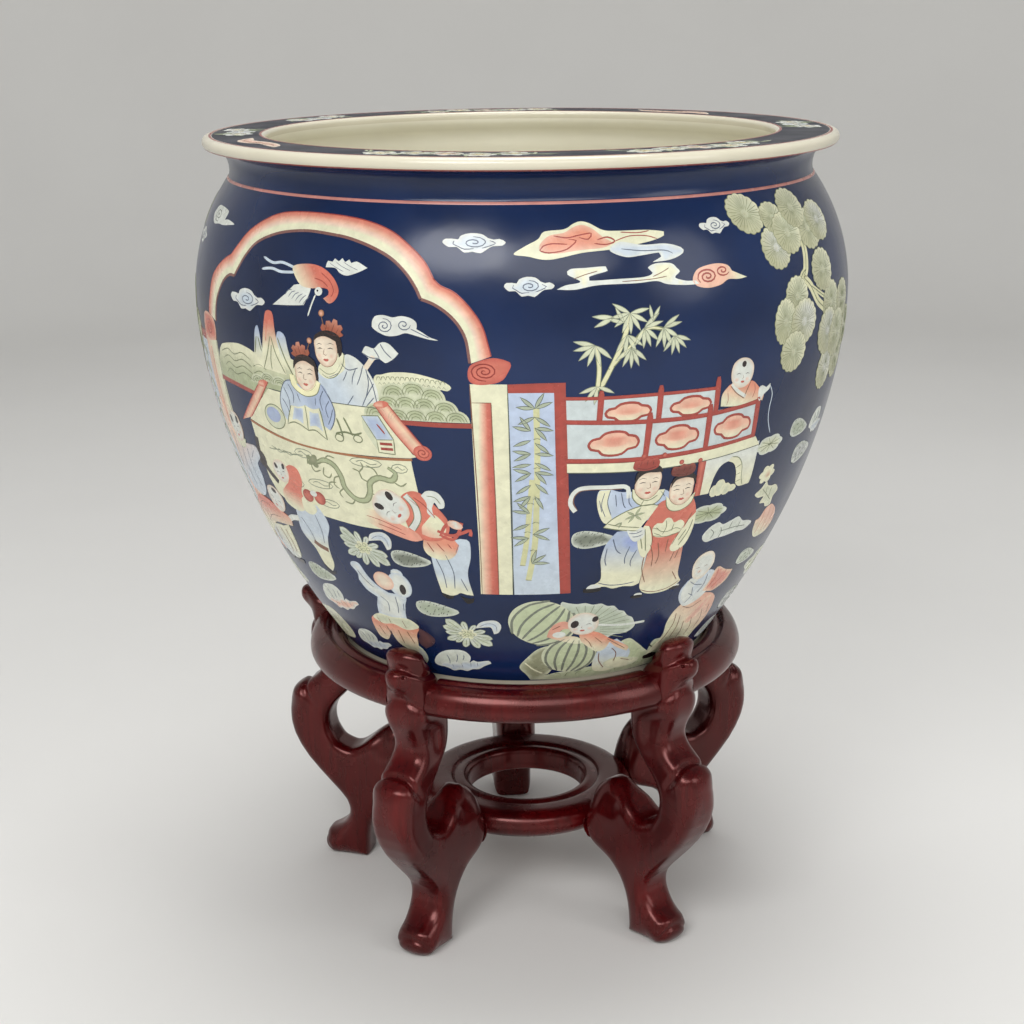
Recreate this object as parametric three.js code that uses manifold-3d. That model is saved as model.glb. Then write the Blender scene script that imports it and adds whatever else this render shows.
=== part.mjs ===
// A porcelain jardiniere standing on a turned and carved hardwood stand with five legs.
// Millimetres, +Z up. The origin is on the floor, on the axis that the bowl and the stand share.
// -Y is the front: two legs stand left and right of it, and the fourth leg points to +Y.
import * as THREE from "three";
import { mergeVertices } from "three/addons/utils/BufferGeometryUtils.js";
import Module from "manifold-3d";

const wasm = await Module();
wasm.setup();

// Bowl. Heights are above the underside of its foot.
const footRadius = 147.6;
const footBand = 7.7;
const footFlare = 0.7;
const footRingWidth = 13;
const footRecess = 9;
const bellyRadius = 253;
const bellyHeight = 286.5;
const shoulderRadius = 223.6;
const shoulderHeight = 375.8;
const shoulderLedge = 2;
const neckStep = 6;
const neckHeight = 30.2;
const rimRadius = 242;
const rimBead = 4.9;
const rimWidth = 47.8;
const rimThickness = 11;
const wallThickness = 9;
const floorThickness = 8;

// Stand. Heights are above the floor.
const legCount = 5;
const legThickness = 34;
const kneeReach = 67;
const seatHeight = 218.2;
const seatMargin = 2.1;
const seatThickness = 8;
const ledgeWidth = 11.3;
const ledgeThickness = 6;
const railRise = 10.6;
const railReach = 26.7;
const railGroove = 10.3;
const hornRise = 37;
const stretcherRadius = 88.5;
const stretcherWidth = 40;
const stretcherThickness = 21;
const stretcherTop = 88;

// Joinery.
const railDowelRadius = 5;
const railDowelInLeg = 11;
const railDowelInRail = 15;
const hookDowelRadius = 4;
const hookDowelInLeg = 16;
const hookDowelInRing = 16;
const fit = 0.3;
const boreClearance = 0.42;
const bowlClearance = 1.8;

// Smoothness.
const bowlSegments = 48;
const railSegments = 60;
const stretcherSegments = 40;
const dowelSegments = 12;
const curveSteps = 2;

// Places worked out from the sizes above.
const rimTop = shoulderHeight + neckHeight;
const bowlBottom = seatHeight + fit;
const seatRadius = footRadius + seatMargin;
const rebateRadius = seatRadius + 2 * fit;
const ledgeTop = seatHeight - seatThickness - fit;
const railBottom = ledgeTop - ledgeThickness;
const railTop = seatHeight + railRise;
const railRadius = rebateRadius + railReach;
const legInner = rebateRadius - ledgeWidth;
const sectorAngle = (2 * Math.PI) / legCount;
const railDowelHeight = (railBottom + railTop) / 2 - 1;
const railDowelPlace = rebateRadius + 0.37 * railReach;
const stretcherMiddle = stretcherTop - stretcherThickness / 2;

const rosewood = new THREE.MeshStandardMaterial({ color: 0x4a1518, roughness: 0.28, metalness: 0 });
const beech = new THREE.MeshStandardMaterial({ color: 0xa98258, roughness: 0.7, metalness: 0 });
const porcelain = new THREE.MeshStandardMaterial({ color: 0x1a2a4e, roughness: 0.12, metalness: 0 });

// ---- From shapes to solids ----

function solidOf(geometry) {
  const bare = geometry.clone();
  bare.deleteAttribute("normal");
  bare.deleteAttribute("uv");
  const merged = mergeVertices(bare, 1e-4);
  const corners = merged.index.array;
  const triangles = [];
  for (let i = 0; i < corners.length; i += 3) {
    const [a, b, c] = corners.slice(i, i + 3);
    if (a !== b && b !== c && c !== a) triangles.push(a, b, c);
  }
  const mesh = new wasm.Mesh({
    numProp: 3,
    vertProperties: new Float32Array(merged.attributes.position.array),
    triVerts: new Uint32Array(triangles),
  });
  return new wasm.Manifold(mesh);
}

function geometryOf(solid) {
  const mesh = solid.getMesh();
  const geometry = new THREE.BufferGeometry();
  geometry.setAttribute("position", new THREE.BufferAttribute(mesh.vertProperties, 3));
  geometry.setIndex(new THREE.BufferAttribute(mesh.triVerts, 1));
  geometry.computeVertexNormals();
  return geometry;
}

function cut(geometry, ...tools) {
  let solid = solidOf(geometry);
  for (const tool of tools) {
    solid = solid.subtract(solidOf(tool));
  }
  return geometryOf(solid);
}

// Turns a profile of [radius, height] points, which runs upwards along the outside, about +Z.
function turned(profile, segments) {
  const points = profile.map(([radius, height]) => new THREE.Vector2(radius, height));
  const geometry = new THREE.LatheGeometry(points, segments);
  geometry.rotateX(Math.PI / 2);
  return geometry;
}

function dowel(radius, length, axis) {
  const geometry = new THREE.CylinderGeometry(radius, radius, length, dowelSegments);
  if (axis === "x") geometry.rotateZ(Math.PI / 2);
  return geometry;
}

// The points of a smooth stroke through the given points, with the last one left to the next stroke.
function stroke(...points) {
  const curve = new THREE.SplineCurve(points.map(([x, y]) => new THREE.Vector2(x, y)));
  return curve.getPoints((points.length - 1) * curveSteps).slice(0, -1);
}

// ---- Bowl ----

// Its outside is two curves that meet upright at the belly. The pulls set how full each one is.
const bodyStart = new THREE.Vector2(footRadius + footFlare, footBand);
const belly = new THREE.Vector2(bellyRadius, bellyHeight);
const shoulder = new THREE.Vector2(shoulderRadius, shoulderHeight);
const lowerRise = belly.y - bodyStart.y;
const upperRise = shoulder.y - belly.y;
const lowerBody = new THREE.CubicBezierCurve(
  bodyStart,
  new THREE.Vector2(belly.x - 0.055 * (belly.x - bodyStart.x), bodyStart.y + 0.49 * lowerRise),
  new THREE.Vector2(belly.x, belly.y - 0.094 * lowerRise),
  belly,
);
const upperBody = new THREE.CubicBezierCurve(
  belly,
  new THREE.Vector2(belly.x, belly.y + 0.287 * upperRise),
  new THREE.Vector2(shoulder.x + 0.78 * (belly.x - shoulder.x), belly.y + 0.65 * upperRise),
  shoulder,
);

function outside(curve, share) {
  return curve.getPointAt(share).toArray();
}

function inside(curve, share) {
  const point = curve.getPointAt(share);
  const tangent = curve.getTangentAt(share);
  return [point.x - wallThickness * tangent.y, point.y + wallThickness * tangent.x];
}

// Equal steps along a curve, from just past its start to its end.
function shares(steps) {
  return Array.from({ length: steps }, (_, i) => (i + 1) / steps);
}

function bowlProfile() {
  const lower = shares(9);
  const upper = shares(4);
  const neckRadius = shoulderRadius - neckStep;
  const beadCentre = [rimRadius - rimBead, rimTop - rimBead];
  const bead = [-75, -35, 0, 35, 62, 90].map((degrees) => {
    const angle = THREE.MathUtils.degToRad(degrees);
    return [beadCentre[0] + rimBead * Math.cos(angle), beadCentre[1] + rimBead * Math.sin(angle)];
  });
  const opening = rimRadius - rimWidth;
  const floorTop = footRecess + floorThickness;
  const lowest = inside(lowerBody, lower[0]);
  return [
    [0, footRecess],
    [footRadius - footRingWidth - 3, footRecess],
    [footRadius - footRingWidth, 0.8],
    [footRadius - footRingWidth + 1, 0],
    [footRadius - 1, 0],
    [footRadius, 1],
    bodyStart.toArray(),
    ...lower.map((share) => outside(lowerBody, share)),
    ...upper.map((share) => outside(upperBody, share)),
    [shoulderRadius + 2, shoulderHeight + 0.4],
    [shoulderRadius + 1.6, shoulderHeight + shoulderLedge],
    [neckRadius, shoulderHeight + shoulderLedge + 1.2],
    [neckRadius + 2.5, shoulderHeight + 0.45 * neckHeight],
    [rimRadius - 1.6 * rimBead - 4, rimTop - 2 * rimBead - 1],
    ...bead,
    [opening + 2, rimTop],
    [opening, rimTop - 2],
    [opening + 1, rimTop - 0.7 * rimThickness],
    [opening + 6, rimTop - 1.2 * rimThickness],
    [neckRadius - wallThickness, shoulderHeight + shoulderLedge],
    ...upper.slice(0, -1).reverse().map((share) => inside(upperBody, share)),
    ...lower.reverse().map((share) => inside(lowerBody, share)),
    [lowest[0] - 14, floorTop + 3],
    [lowest[0] - 30, floorTop],
    [0, floorTop],
  ];
}

// The bowl's outside radius at a height above the floor, for what stands beside it.
const bowlOutline = lowerBody.getSpacedPoints(60);
function beside(height, gap) {
  const rise = height - bowlBottom;
  const above = bowlOutline.findIndex((point) => point.y > rise);
  if (above < 1) return [footRadius + gap, height];
  const low = bowlOutline[above - 1];
  const high = bowlOutline[above];
  const share = (rise - low.y) / (high.y - low.y);
  return [low.x + share * (high.x - low.x) + gap, height];
}

// ---- Stand ----

// Places on a leg, as shares: out from its inner edge to the knee, in from there to the stretcher ring,
// and up from the floor to the underside of the rails.
const out = (share, up) => [legInner + share * kneeReach, up * railBottom];
const inwards = (share, up) => [legInner - share * (legInner - stretcherRadius), up * railBottom];
const soleWidth = 0.48;

// The outline of a leg from the side: x is the radius and y the height.
function legShape() {
  const hornTop = seatHeight + hornRise;
  const hornInside = [0.04, 0.3, 0.56, 0.82].map((share) => {
    return beside(hornTop - share * (hornTop - railTop), bowlClearance);
  });
  const kneeNotch = out(0.755, 0.775);
  const hornNotch = beside(hornTop - 0.26 * hornRise, 20.6);
  const hornFoot = beside(seatHeight + 3.5, 34.5);
  const hookTip = inwards(0.7, 0.578);
  const points = [
    ...stroke(inwards(0, 0), out(soleWidth, 0)),
    ...stroke(out(soleWidth, 0), out(0.565, 0.025), out(0.585, 0.06), out(0.53, 0.1)),
    ...stroke(out(0.53, 0.1), out(0.37, 0.14), out(0.24, 0.19), out(0.27, 0.255), out(0.48, 0.335),
      out(0.76, 0.44), out(0.94, 0.545), out(1, 0.655), out(0.93, 0.735), kneeNotch),
    ...stroke(kneeNotch, out(0.64, 0.81), out(0.535, 0.86), out(0.6, 0.935), out(0.65, 0.99), hornFoot),
    ...stroke(hornFoot, beside(hornTop - 0.62 * hornRise, 36), beside(hornTop - 0.4 * hornRise, 33),
      hornNotch),
    ...stroke(hornNotch, beside(hornTop - 0.1 * hornRise, 17), beside(hornTop, 9), hornInside[0]),
    ...stroke(...hornInside),
    new THREE.Vector2(rebateRadius, railTop - 2),
    new THREE.Vector2(rebateRadius, ledgeTop),
    new THREE.Vector2(legInner, ledgeTop),
    ...stroke(out(0, 0.97), out(0, 0.88), out(0.07, 0.81), out(0.23, 0.745), out(0.39, 0.69),
      out(0.475, 0.63), out(0.455, 0.565), out(0.36, 0.512)),
    ...stroke(out(0.36, 0.512), out(0.2, 0.49), out(0.06, 0.505), inwards(0.16, 0.555), inwards(0.38, 0.6),
      inwards(0.56, 0.612), hookTip),
    ...stroke(hookTip, inwards(0.87, 0.52), inwards(0.98, 0.45), inwards(1.02, 0.38), inwards(0.93, 0.325),
      inwards(0.73, 0.293), inwards(0.47, 0.27), inwards(0.24, 0.225), inwards(0.09, 0.165),
      inwards(0.02, 0.09), inwards(0, 0)),
  ];
  return new THREE.Shape(points);
}

// The section of the rails: a small bead at the inner top edge, a groove, and a broad rounded band.
function railProfile() {
  const groove = rebateRadius + railGroove;
  return [
    [legInner, railBottom],
    [railRadius - 6, railBottom],
    [railRadius - 1.6, railBottom + 4.2],
    [railRadius, railBottom + 10],
    [railRadius - 2.4, railTop - 7],
    [railRadius - 7.5, railTop - 2.2],
    [groove + 3.5, railTop - 0.6],
    [groove, railTop - 2.4],
    [groove - 2.4, railTop - 0.3],
    [groove - 5.4, railTop],
    [rebateRadius + 1.4, railTop - 1],
    [rebateRadius, railTop - 3],
    [rebateRadius, ledgeTop],
    [legInner, ledgeTop],
    [legInner, railBottom],
  ];
}

// The section of the stretcher ring, grown by a clearance on its outside for the seats in the legs.
function stretcherProfile(grow) {
  const inner = stretcherRadius - stretcherWidth;
  const low = stretcherTop - stretcherThickness;
  return [
    [inner + 3, low],
    [stretcherRadius - 9, low - grow],
    [stretcherRadius - 2.5 + grow, low + 3.5 - grow],
    [stretcherRadius + grow, stretcherMiddle],
    [stretcherRadius - 2.5 + grow, stretcherTop - 4 + grow],
    [stretcherRadius - 9, stretcherTop + grow],
    [inner + 14, stretcherTop],
    [inner + 10, stretcherTop - 1.8],
    [inner + 7, stretcherTop - 0.8],
    [inner + 1.6, stretcherTop - 1.6],
    [inner, stretcherTop - 4],
    [inner, low + 4],
    [inner + 3, low],
  ];
}

// A wedge between the faces of two neighbouring legs, centred on +X.
function wedge() {
  const half = sectorAngle / 2;
  const apex = (legThickness / 2 + fit) / Math.sin(half);
  const reach = 2 * railRadius;
  const shape = new THREE.Shape([
    new THREE.Vector2(apex, 0),
    new THREE.Vector2(apex + reach * Math.cos(half), -reach * Math.sin(half)),
    new THREE.Vector2(apex + reach * Math.cos(half), reach * Math.sin(half)),
  ]);
  const depth = 2 * (railTop - railBottom);
  const geometry = new THREE.ExtrudeGeometry(shape, { depth, bevelEnabled: false });
  geometry.translate(0, 0, railBottom - depth / 4);
  return geometry;
}

// The middle of the dowel between a leg's face and a rail, with the leg on +X. Side is 1 or -1 along Y.
function railDowelCentre(side) {
  const inner = legThickness / 2 - railDowelInLeg;
  const outer = legThickness / 2 + fit + railDowelInRail;
  return [railDowelPlace, (side * (inner + outer)) / 2, railDowelHeight];
}

const railDowelLength = railDowelInLeg + fit + railDowelInRail;
const hookDowelLength = hookDowelInLeg + fit + hookDowelInRing;
const hookDowelCentre = [stretcherRadius + (fit + hookDowelInLeg - hookDowelInRing) / 2, 0, stretcherMiddle];

function bore(radius, length, axis, centre, turn = 0) {
  const geometry = dowel(radius + boreClearance, length + 2 * fit, axis);
  geometry.translate(...centre);
  geometry.rotateZ(turn);
  return geometry;
}

const hookBore = () => bore(hookDowelRadius, hookDowelLength, "x", hookDowelCentre);
const railBore = (side, turn) => bore(railDowelRadius, railDowelLength, "y", railDowelCentre(side), turn);

function legGeometry() {
  const geometry = new THREE.ExtrudeGeometry(legShape(), { depth: legThickness, bevelEnabled: false });
  geometry.translate(0, 0, -legThickness / 2);
  geometry.rotateX(Math.PI / 2);
  const seat = turned(stretcherProfile(fit), stretcherSegments);
  return cut(geometry, seat, hookBore(), railBore(1, 0), railBore(-1, 0));
}

function railGeometry() {
  const ring = solidOf(turned(railProfile(), railSegments));
  const half = sectorAngle / 2;
  const length = ring.intersect(solidOf(wedge()));
  return cut(geometryOf(length), railBore(1, -half), railBore(-1, half));
}

function stretcherGeometry() {
  const bores = [];
  for (let k = 0; k < legCount; k += 1) {
    bores.push(hookBore().rotateZ(k * sectorAngle));
  }
  return cut(turned(stretcherProfile(0), stretcherSegments), ...bores);
}

// ---- Assembly ----

const group = new THREE.Group();

function add(parent, name, geometry, material, place = [0, 0, 0]) {
  const mesh = new THREE.Mesh(geometry, material);
  mesh.name = name;
  mesh.position.set(...place);
  parent.add(mesh);
  return mesh;
}

const seatProfile = [
  [0, seatHeight - seatThickness],
  [seatRadius - 1, seatHeight - seatThickness],
  [seatRadius, seatHeight - seatThickness + 1],
  [seatRadius, seatHeight - 1],
  [seatRadius - 1, seatHeight],
  [0, seatHeight],
];

add(group, "bowl", turned(bowlProfile(), bowlSegments), porcelain, [0, 0, bowlBottom]);
add(group, "seat_board", turned(seatProfile, railSegments), rosewood);

const firstLeg = -Math.PI / 2 - sectorAngle / 2;

const ring = new THREE.Group();
ring.rotation.z = firstLeg;
add(ring, "stretcher_ring", stretcherGeometry(), rosewood);
group.add(ring);

for (let k = 0; k < legCount; k += 1) {
  const station = new THREE.Group();
  station.rotation.z = firstLeg + k * sectorAngle;
  add(station, `leg_${k + 1}`, legGeometry(), rosewood);
  add(station, `hook_dowel_${k + 1}`, dowel(hookDowelRadius, hookDowelLength, "x"), beech, hookDowelCentre);
  for (const [letter, side] of [["a", -1], ["b", 1]]) {
    const name = `rail_dowel_${k + 1}${letter}`;
    add(station, name, dowel(railDowelRadius, railDowelLength, "y"), beech, railDowelCentre(side));
  }
  group.add(station);

  const span = new THREE.Group();
  span.rotation.z = station.rotation.z + sectorAngle / 2;
  add(span, `rail_${k + 1}`, railGeometry(), rosewood);
  group.add(span);
}

export default group;
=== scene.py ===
"""A dark blue porcelain jardiniere with raised enamel pictures, standing on a lacquered hardwood stand.

The enamel is real relief. It is drawn in millimetres on charts of the bowl's outside: x runs to the right
from the chart's own meridian, and y runs up the wall from the foot, so that a shape keeps its size wherever
it is placed.
"""
import math
from contextlib import contextmanager

import bmesh
import bpy
import numpy as np
from mathutils import Matrix, Vector, geometry


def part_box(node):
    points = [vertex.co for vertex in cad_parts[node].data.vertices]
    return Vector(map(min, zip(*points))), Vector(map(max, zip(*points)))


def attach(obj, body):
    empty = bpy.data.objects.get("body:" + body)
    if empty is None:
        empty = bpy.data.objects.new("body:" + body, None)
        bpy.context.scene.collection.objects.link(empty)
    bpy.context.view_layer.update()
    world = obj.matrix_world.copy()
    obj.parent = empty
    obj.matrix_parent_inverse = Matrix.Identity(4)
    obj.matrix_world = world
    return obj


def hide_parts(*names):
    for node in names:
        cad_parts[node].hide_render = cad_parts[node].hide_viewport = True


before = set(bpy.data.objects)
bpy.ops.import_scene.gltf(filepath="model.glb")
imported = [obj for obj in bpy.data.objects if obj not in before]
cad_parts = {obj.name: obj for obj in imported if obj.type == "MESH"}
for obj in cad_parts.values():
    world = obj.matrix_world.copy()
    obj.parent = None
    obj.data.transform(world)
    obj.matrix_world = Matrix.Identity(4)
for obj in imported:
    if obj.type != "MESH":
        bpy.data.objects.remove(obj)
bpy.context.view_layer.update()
MM = 0.001
BOWL_LOW, BOWL_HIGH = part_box("bowl")
BOWL_BOTTOM = BOWL_LOW.z
RIM_TOP = BOWL_HIGH.z

# The photograph's view. The camera stands a little to the left of the part's own front.
VIEW_AZIMUTH = math.radians(-5.106)
CAMERA_DISTANCE = 1.4126
CAMERA_HEIGHT = 0.7307
CAMERA_PITCH = math.radians(16.309)
CAMERA_YAW = math.radians(-0.384)
CAMERA_ROLL = math.radians(-0.62)
CAMERA_LENS = 63.52
CAMERA_SENSOR = 36.0


def rgb(red, green, blue):
    """A colour as it looks on a screen, in parts of 255, as the linear one that shaders take."""
    def linear(level):
        share = level / 255
        return share / 12.92 if share <= 0.04045 else ((share + 0.055) / 1.055) ** 2.4
    return (linear(red), linear(green), linear(blue), 1.0)


# Enamel colours, from dark to light.
BLACK = rgb(22, 18, 20)
HAIR = rgb(40, 30, 30)
MAROON = rgb(92, 44, 38)
DARK_PLUM = rgb(70, 52, 60)
CHESTNUT = rgb(112, 56, 48)
PLUM = rgb(96, 66, 66)
OXBLOOD = rgb(138, 50, 44)
INK = rgb(82, 90, 80)
DARK_BRICK = rgb(146, 62, 54)
SEPIA = rgb(124, 86, 64)
BRICK = rgb(158, 70, 60)
FOLD = rgb(88, 98, 116)
TAUPE = rgb(128, 90, 84)
RUST = rgb(170, 72, 62)
COPPER = rgb(158, 88, 66)
DUSTY_RED = rgb(156, 84, 76)
LEAF_LINE = rgb(116, 124, 92)
TAN = rgb(164, 110, 74)
SLATE_GREEN = rgb(120, 126, 112)
LIP = rgb(188, 92, 80)
OLIVE = rgb(134, 140, 108)
GREY_GREEN = rgb(134, 142, 120)
CORAL = rgb(204, 114, 96)
KHAKI = rgb(150, 152, 124)
AMBER = rgb(190, 140, 104)
WARM_CORAL = rgb(214, 122, 102)
DRAB = rgb(166, 162, 128)
CLAY = rgb(200, 140, 118)
SALMON = rgb(212, 138, 118)
ROSE = rgb(206, 140, 130)
APRICOT = rgb(222, 146, 120)
SAGE = rgb(172, 180, 144)
LICHEN = rgb(168, 178, 156)
PEACH = rgb(216, 156, 136)
HAY = rgb(184, 184, 150)
HONEY = rgb(212, 186, 120)
SHRIMP = rgb(228, 160, 138)
CORNFLOWER = rgb(150, 166, 214)
PERIWINKLE = rgb(160, 172, 204)
BUFF = rgb(224, 172, 146)
STONE = rgb(180, 184, 180)
MIST_GREEN = rgb(184, 194, 174)
CELADON = rgb(190, 200, 164)
FAWN = rgb(214, 184, 160)
SKY = rgb(170, 184, 208)
BLUSH = rgb(228, 180, 156)
BAMBOO = rgb(204, 204, 158)
CHEEK = rgb(226, 182, 160)
PALE_LICHEN = rgb(196, 204, 176)
POLLEN = rgb(206, 210, 170)
PALE_SAGE = rgb(206, 210, 182)
POWDER_BLUE = rgb(184, 198, 220)
SAND = rgb(232, 202, 172)
SHELL = rgb(222, 204, 184)
PEARL = rgb(198, 208, 208)
REED = rgb(220, 218, 178)
PALE_PEACH = rgb(232, 204, 184)
PALE_BLUE = rgb(196, 208, 218)
FROST = rgb(208, 214, 202)
CREAM = rgb(226, 225, 194)
SKIN = rgb(232, 218, 196)
CLOUD = rgb(216, 219, 212)
IVORY = rgb(218, 222, 214)
BUTTER = rgb(238, 234, 190)


# ---- The bowl's shape ----

def bezier(points, steps):
    a, b, c, d = (np.array(p, float) for p in points)
    t = np.linspace(0, 1, steps)[:, None]
    return (1 - t) ** 3 * a + 3 * (1 - t) ** 2 * t * b + 3 * (1 - t) * t * t * c + t ** 3 * d


# Shapes are in millimetres. Places are (radius, height above the foot).
GLAZE_INSET = 0.75
WALL_THICKNESS = 9.2
FOOT_BAND = (148.3, 7.7)
BELLY = ((BOWL_HIGH.x - BOWL_LOW.x) / 2 / MM, 286.5)
SHOULDER = (223.6, 375.8)
LOWER_PULLS = ((247.2, 144.3), (BELLY[0], 260.3))
UPPER_PULLS = ((BELLY[0], 312.1), (246.5, 344.5))
WALL = np.vstack([
    bezier([FOOT_BAND, *LOWER_PULLS, BELLY], 240),
    bezier([BELLY, *UPPER_PULLS, SHOULDER], 120)[1:],
])
WALL_STEPS = np.hypot(*np.diff(WALL, axis=0).T)
WALL_LENGTHS = np.concatenate([[0], np.cumsum(WALL_STEPS)])
WALL_SLOPES = np.gradient(WALL, WALL_LENGTHS, axis=0)
WALL_HEIGHT = WALL_LENGTHS[-1]
RIM_INNER = 194.2
RIM_FACE = 237.1
BEAD_RADIUS = 4.6
UNDERSIDE = [(0, 9.5), (128, 9.5), (133, 7), (135, 1.2)]
# The neck outside and inside, as steps from the shoulder.
NECK = [(-1.0, 0.6), (-1.5, 3.6), (-1.2, 8), (-0.1, 12.2), (2.0, 16), (5.2, 18.7), (9.2, 20.1)]
NECK_INSIDE = [(-13, 9), (-12, 2)]


def wall_at(y):
    """The wall's radius and height at a way y up it, and how fast both of them grow there."""
    return [np.interp(y, WALL_LENGTHS, values) for values in (*WALL.T, *WALL_SLOPES.T)]


def turned(azimuth, radius, height):
    """Places in metres for azimuths, and for radii and heights above the foot in millimetres."""
    across, ahead = radius * np.sin(azimuth) * MM, -radius * np.cos(azimuth) * MM
    return np.stack([across, ahead, BOWL_BOTTOM + height * MM], axis=-1)


def wall_point(meridian, x, y, lift):
    """The place on the outside wall, in metres, for chart millimetres and a lift above the glaze."""
    radius, height, rise_out, rise_up = wall_at(y)
    proud = lift - GLAZE_INSET
    return turned(meridian + x / radius, radius + proud * rise_up, height - proud * rise_out)


def rim_point(meridian, x, y, lift):
    """The place on the flat rim: x runs along its middle circle, and y outwards from that circle."""
    middle = (RIM_INNER + RIM_FACE) / 2
    azimuth = meridian + x / middle
    height = np.full_like(azimuth, (RIM_TOP - BOWL_BOTTOM) / MM + lift - GLAZE_INSET)
    return turned(azimuth, middle + y, height)


# ---- Meshes ----

def linked(name, data):
    """A new object of the scene."""
    obj = bpy.data.objects.new(name, data)
    bpy.context.scene.collection.objects.link(obj)
    return obj


def make_object(name, points, faces, materials):
    """A smooth mesh object."""
    mesh = bpy.data.meshes.new(name)
    mesh.from_pydata([tuple(p) for p in points], [], faces)
    for material in materials:
        mesh.materials.append(material)
    mesh.polygons.foreach_set("use_smooth", [True] * len(mesh.polygons))
    mesh.update()
    return linked(name, mesh)


def lathe(name, profile, slots, materials, segments, crease=35):
    """A profile of (radius, height) in millimetres turned about the axis, with a slot for each span."""
    points, faces, marks, rings = [], [], [], []
    for n, (radius, height) in enumerate(profile):
        if n == len(profile) - 1 and profile[n] == profile[0]:
            rings.append(rings[0])
        elif radius < 1e-6:
            rings.append([len(points)] * segments)
            points.append((0, 0, height * MM))
        else:
            rings.append(list(range(len(points), len(points) + segments)))
            for k in range(segments):
                turn = 2 * math.pi * k / segments
                points.append((radius * math.cos(turn) * MM, radius * math.sin(turn) * MM, height * MM))
    for i in range(len(profile) - 1):
        low, high = rings[i], rings[i + 1]
        for k in range(segments):
            m = (k + 1) % segments
            corners = [low[k], low[m], high[m], high[k]]
            face = [c for n, c in enumerate(corners) if c not in corners[:n]]
            if len(face) > 2:
                faces.append(face)
                marks.append(slots[i])
    obj = make_object(name, points, faces, materials)
    obj.data.polygons.foreach_set("material_index", marks)
    obj.data.set_sharp_from_angle(angle=math.radians(crease))
    return obj


# ---- Node materials ----

class Shader:
    """A node material around one Principled shader."""

    def __init__(self, name, **fixed):
        self.material = bpy.data.materials.new(name)
        self.material.use_nodes = True
        self.tree = self.material.node_tree
        self.surface = self.tree.nodes["Principled BSDF"]
        for socket, value in fixed.items():
            self.surface.inputs[socket.replace("_", " ")].default_value = value

    def node(self, kind, **settings):
        made = self.tree.nodes.new(kind)
        for key, value in settings.items():
            if hasattr(made, key):
                setattr(made, key, value)
            else:
                made.inputs[key.replace("_", " ")].default_value = value
        return made

    def link(self, source, target):
        self.tree.links.new(source, target)

    def noise(self, scale, detail=3, stretch=None):
        place = self.node("ShaderNodeTexCoord").outputs["Object"]
        if stretch:
            mapping = self.node("ShaderNodeMapping", Scale=stretch)
            self.link(place, mapping.inputs["Vector"])
            place = mapping.outputs["Vector"]
        made = self.node("ShaderNodeTexNoise", Scale=scale, Detail=detail)
        self.link(place, made.inputs["Vector"])
        return made.outputs["Fac"]

    def levels(self, value, low, high, from_low=0.3, from_high=0.7):
        made = self.node("ShaderNodeMapRange")
        levels = {"From Min": from_low, "From Max": from_high, "To Min": low, "To Max": high}
        for socket, level in levels.items():
            made.inputs[socket].default_value = level
        self.link(value, made.inputs["Value"])
        return made.outputs["Result"]

    def mix(self, factor, first, second, blend="MIX"):
        made = self.node("ShaderNodeMix", data_type="RGBA", blend_type=blend)
        for index, value in ((0, factor), (6, first), (7, second)):
            if isinstance(value, (float, int, tuple)):
                made.inputs[index].default_value = value
            else:
                self.link(value, made.inputs[index])
        return made.outputs[2]

    def shaded(self, colour, level):
        """A colour made darker or lighter by a level."""
        tone = self.node("ShaderNodeCombineColor")
        for channel in ("Red", "Green", "Blue"):
            self.link(level, tone.inputs[channel])
        return self.mix(1.0, colour, tone.outputs["Color"], "MULTIPLY")

    def bump(self, height, strength, distance):
        made = self.node("ShaderNodeBump", Strength=strength, Distance=distance)
        self.link(height, made.inputs["Height"])
        self.link(made.outputs["Normal"], self.surface.inputs["Normal"])

    def set(self, socket, value):
        self.link(value, self.surface.inputs[socket])


def glaze(name, dark, light, rough=(0.09, 0.16), wave=0.03, shine=0.5):
    """Glassy glaze: cloudy colour, faint orange peel and small changes of gloss."""
    shader = Shader(name, IOR=1.52, Specular_IOR_Level=shine)
    cloud = shader.noise(9, 5)
    shader.set("Base Color", shader.mix(shader.levels(cloud, 0, 1), dark, light))
    shader.set("Roughness", shader.levels(shader.noise(24, 2), *rough))
    shader.bump(shader.noise(60, 2), wave, 0.004)
    return shader.material


def enamel_material():
    """Raised enamel: the colour comes with each stroke, and the brush leaves it a little cloudy."""
    shader = Shader("enamel", IOR=1.5)
    paint = shader.node("ShaderNodeAttribute", attribute_name="paint").outputs["Color"]
    cloud = shader.levels(shader.noise(140, 4), 0.88, 1.06)
    shader.set("Base Color", shader.shaded(paint, cloud))
    shader.set("Roughness", shader.levels(shader.noise(90, 3), 0.18, 0.34))
    shader.bump(shader.noise(420, 3), 0.12, 0.0008)
    return shader.material


def wood_material(name, dark, light, rough, coat):
    """Hardwood with streaked grain under lacquer."""
    shader = Shader(name, IOR=1.5, Specular_IOR_Level=0.7, Specular_Tint=(1.0, 0.42, 0.39, 1.0),
                    Coat_Weight=coat, Coat_Roughness=0.1)
    grain = shader.noise(30, 6, (1.0, 1.0, 0.16))
    fine = shader.noise(260, 3, (1.0, 1.0, 0.1))
    streaks = shader.mix(shader.levels(grain, 0, 1), dark, light)
    pores = shader.levels(fine, 0.72, 1.08, 0.35, 0.6)
    shader.set("Base Color", shader.shaded(streaks, pores))
    shader.set("Roughness", shader.levels(shader.noise(45, 3), *rough))
    shader.bump(shader.noise(90, 4, (1.0, 1.0, 0.3)), 0.05, 0.002)
    return shader.material


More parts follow.
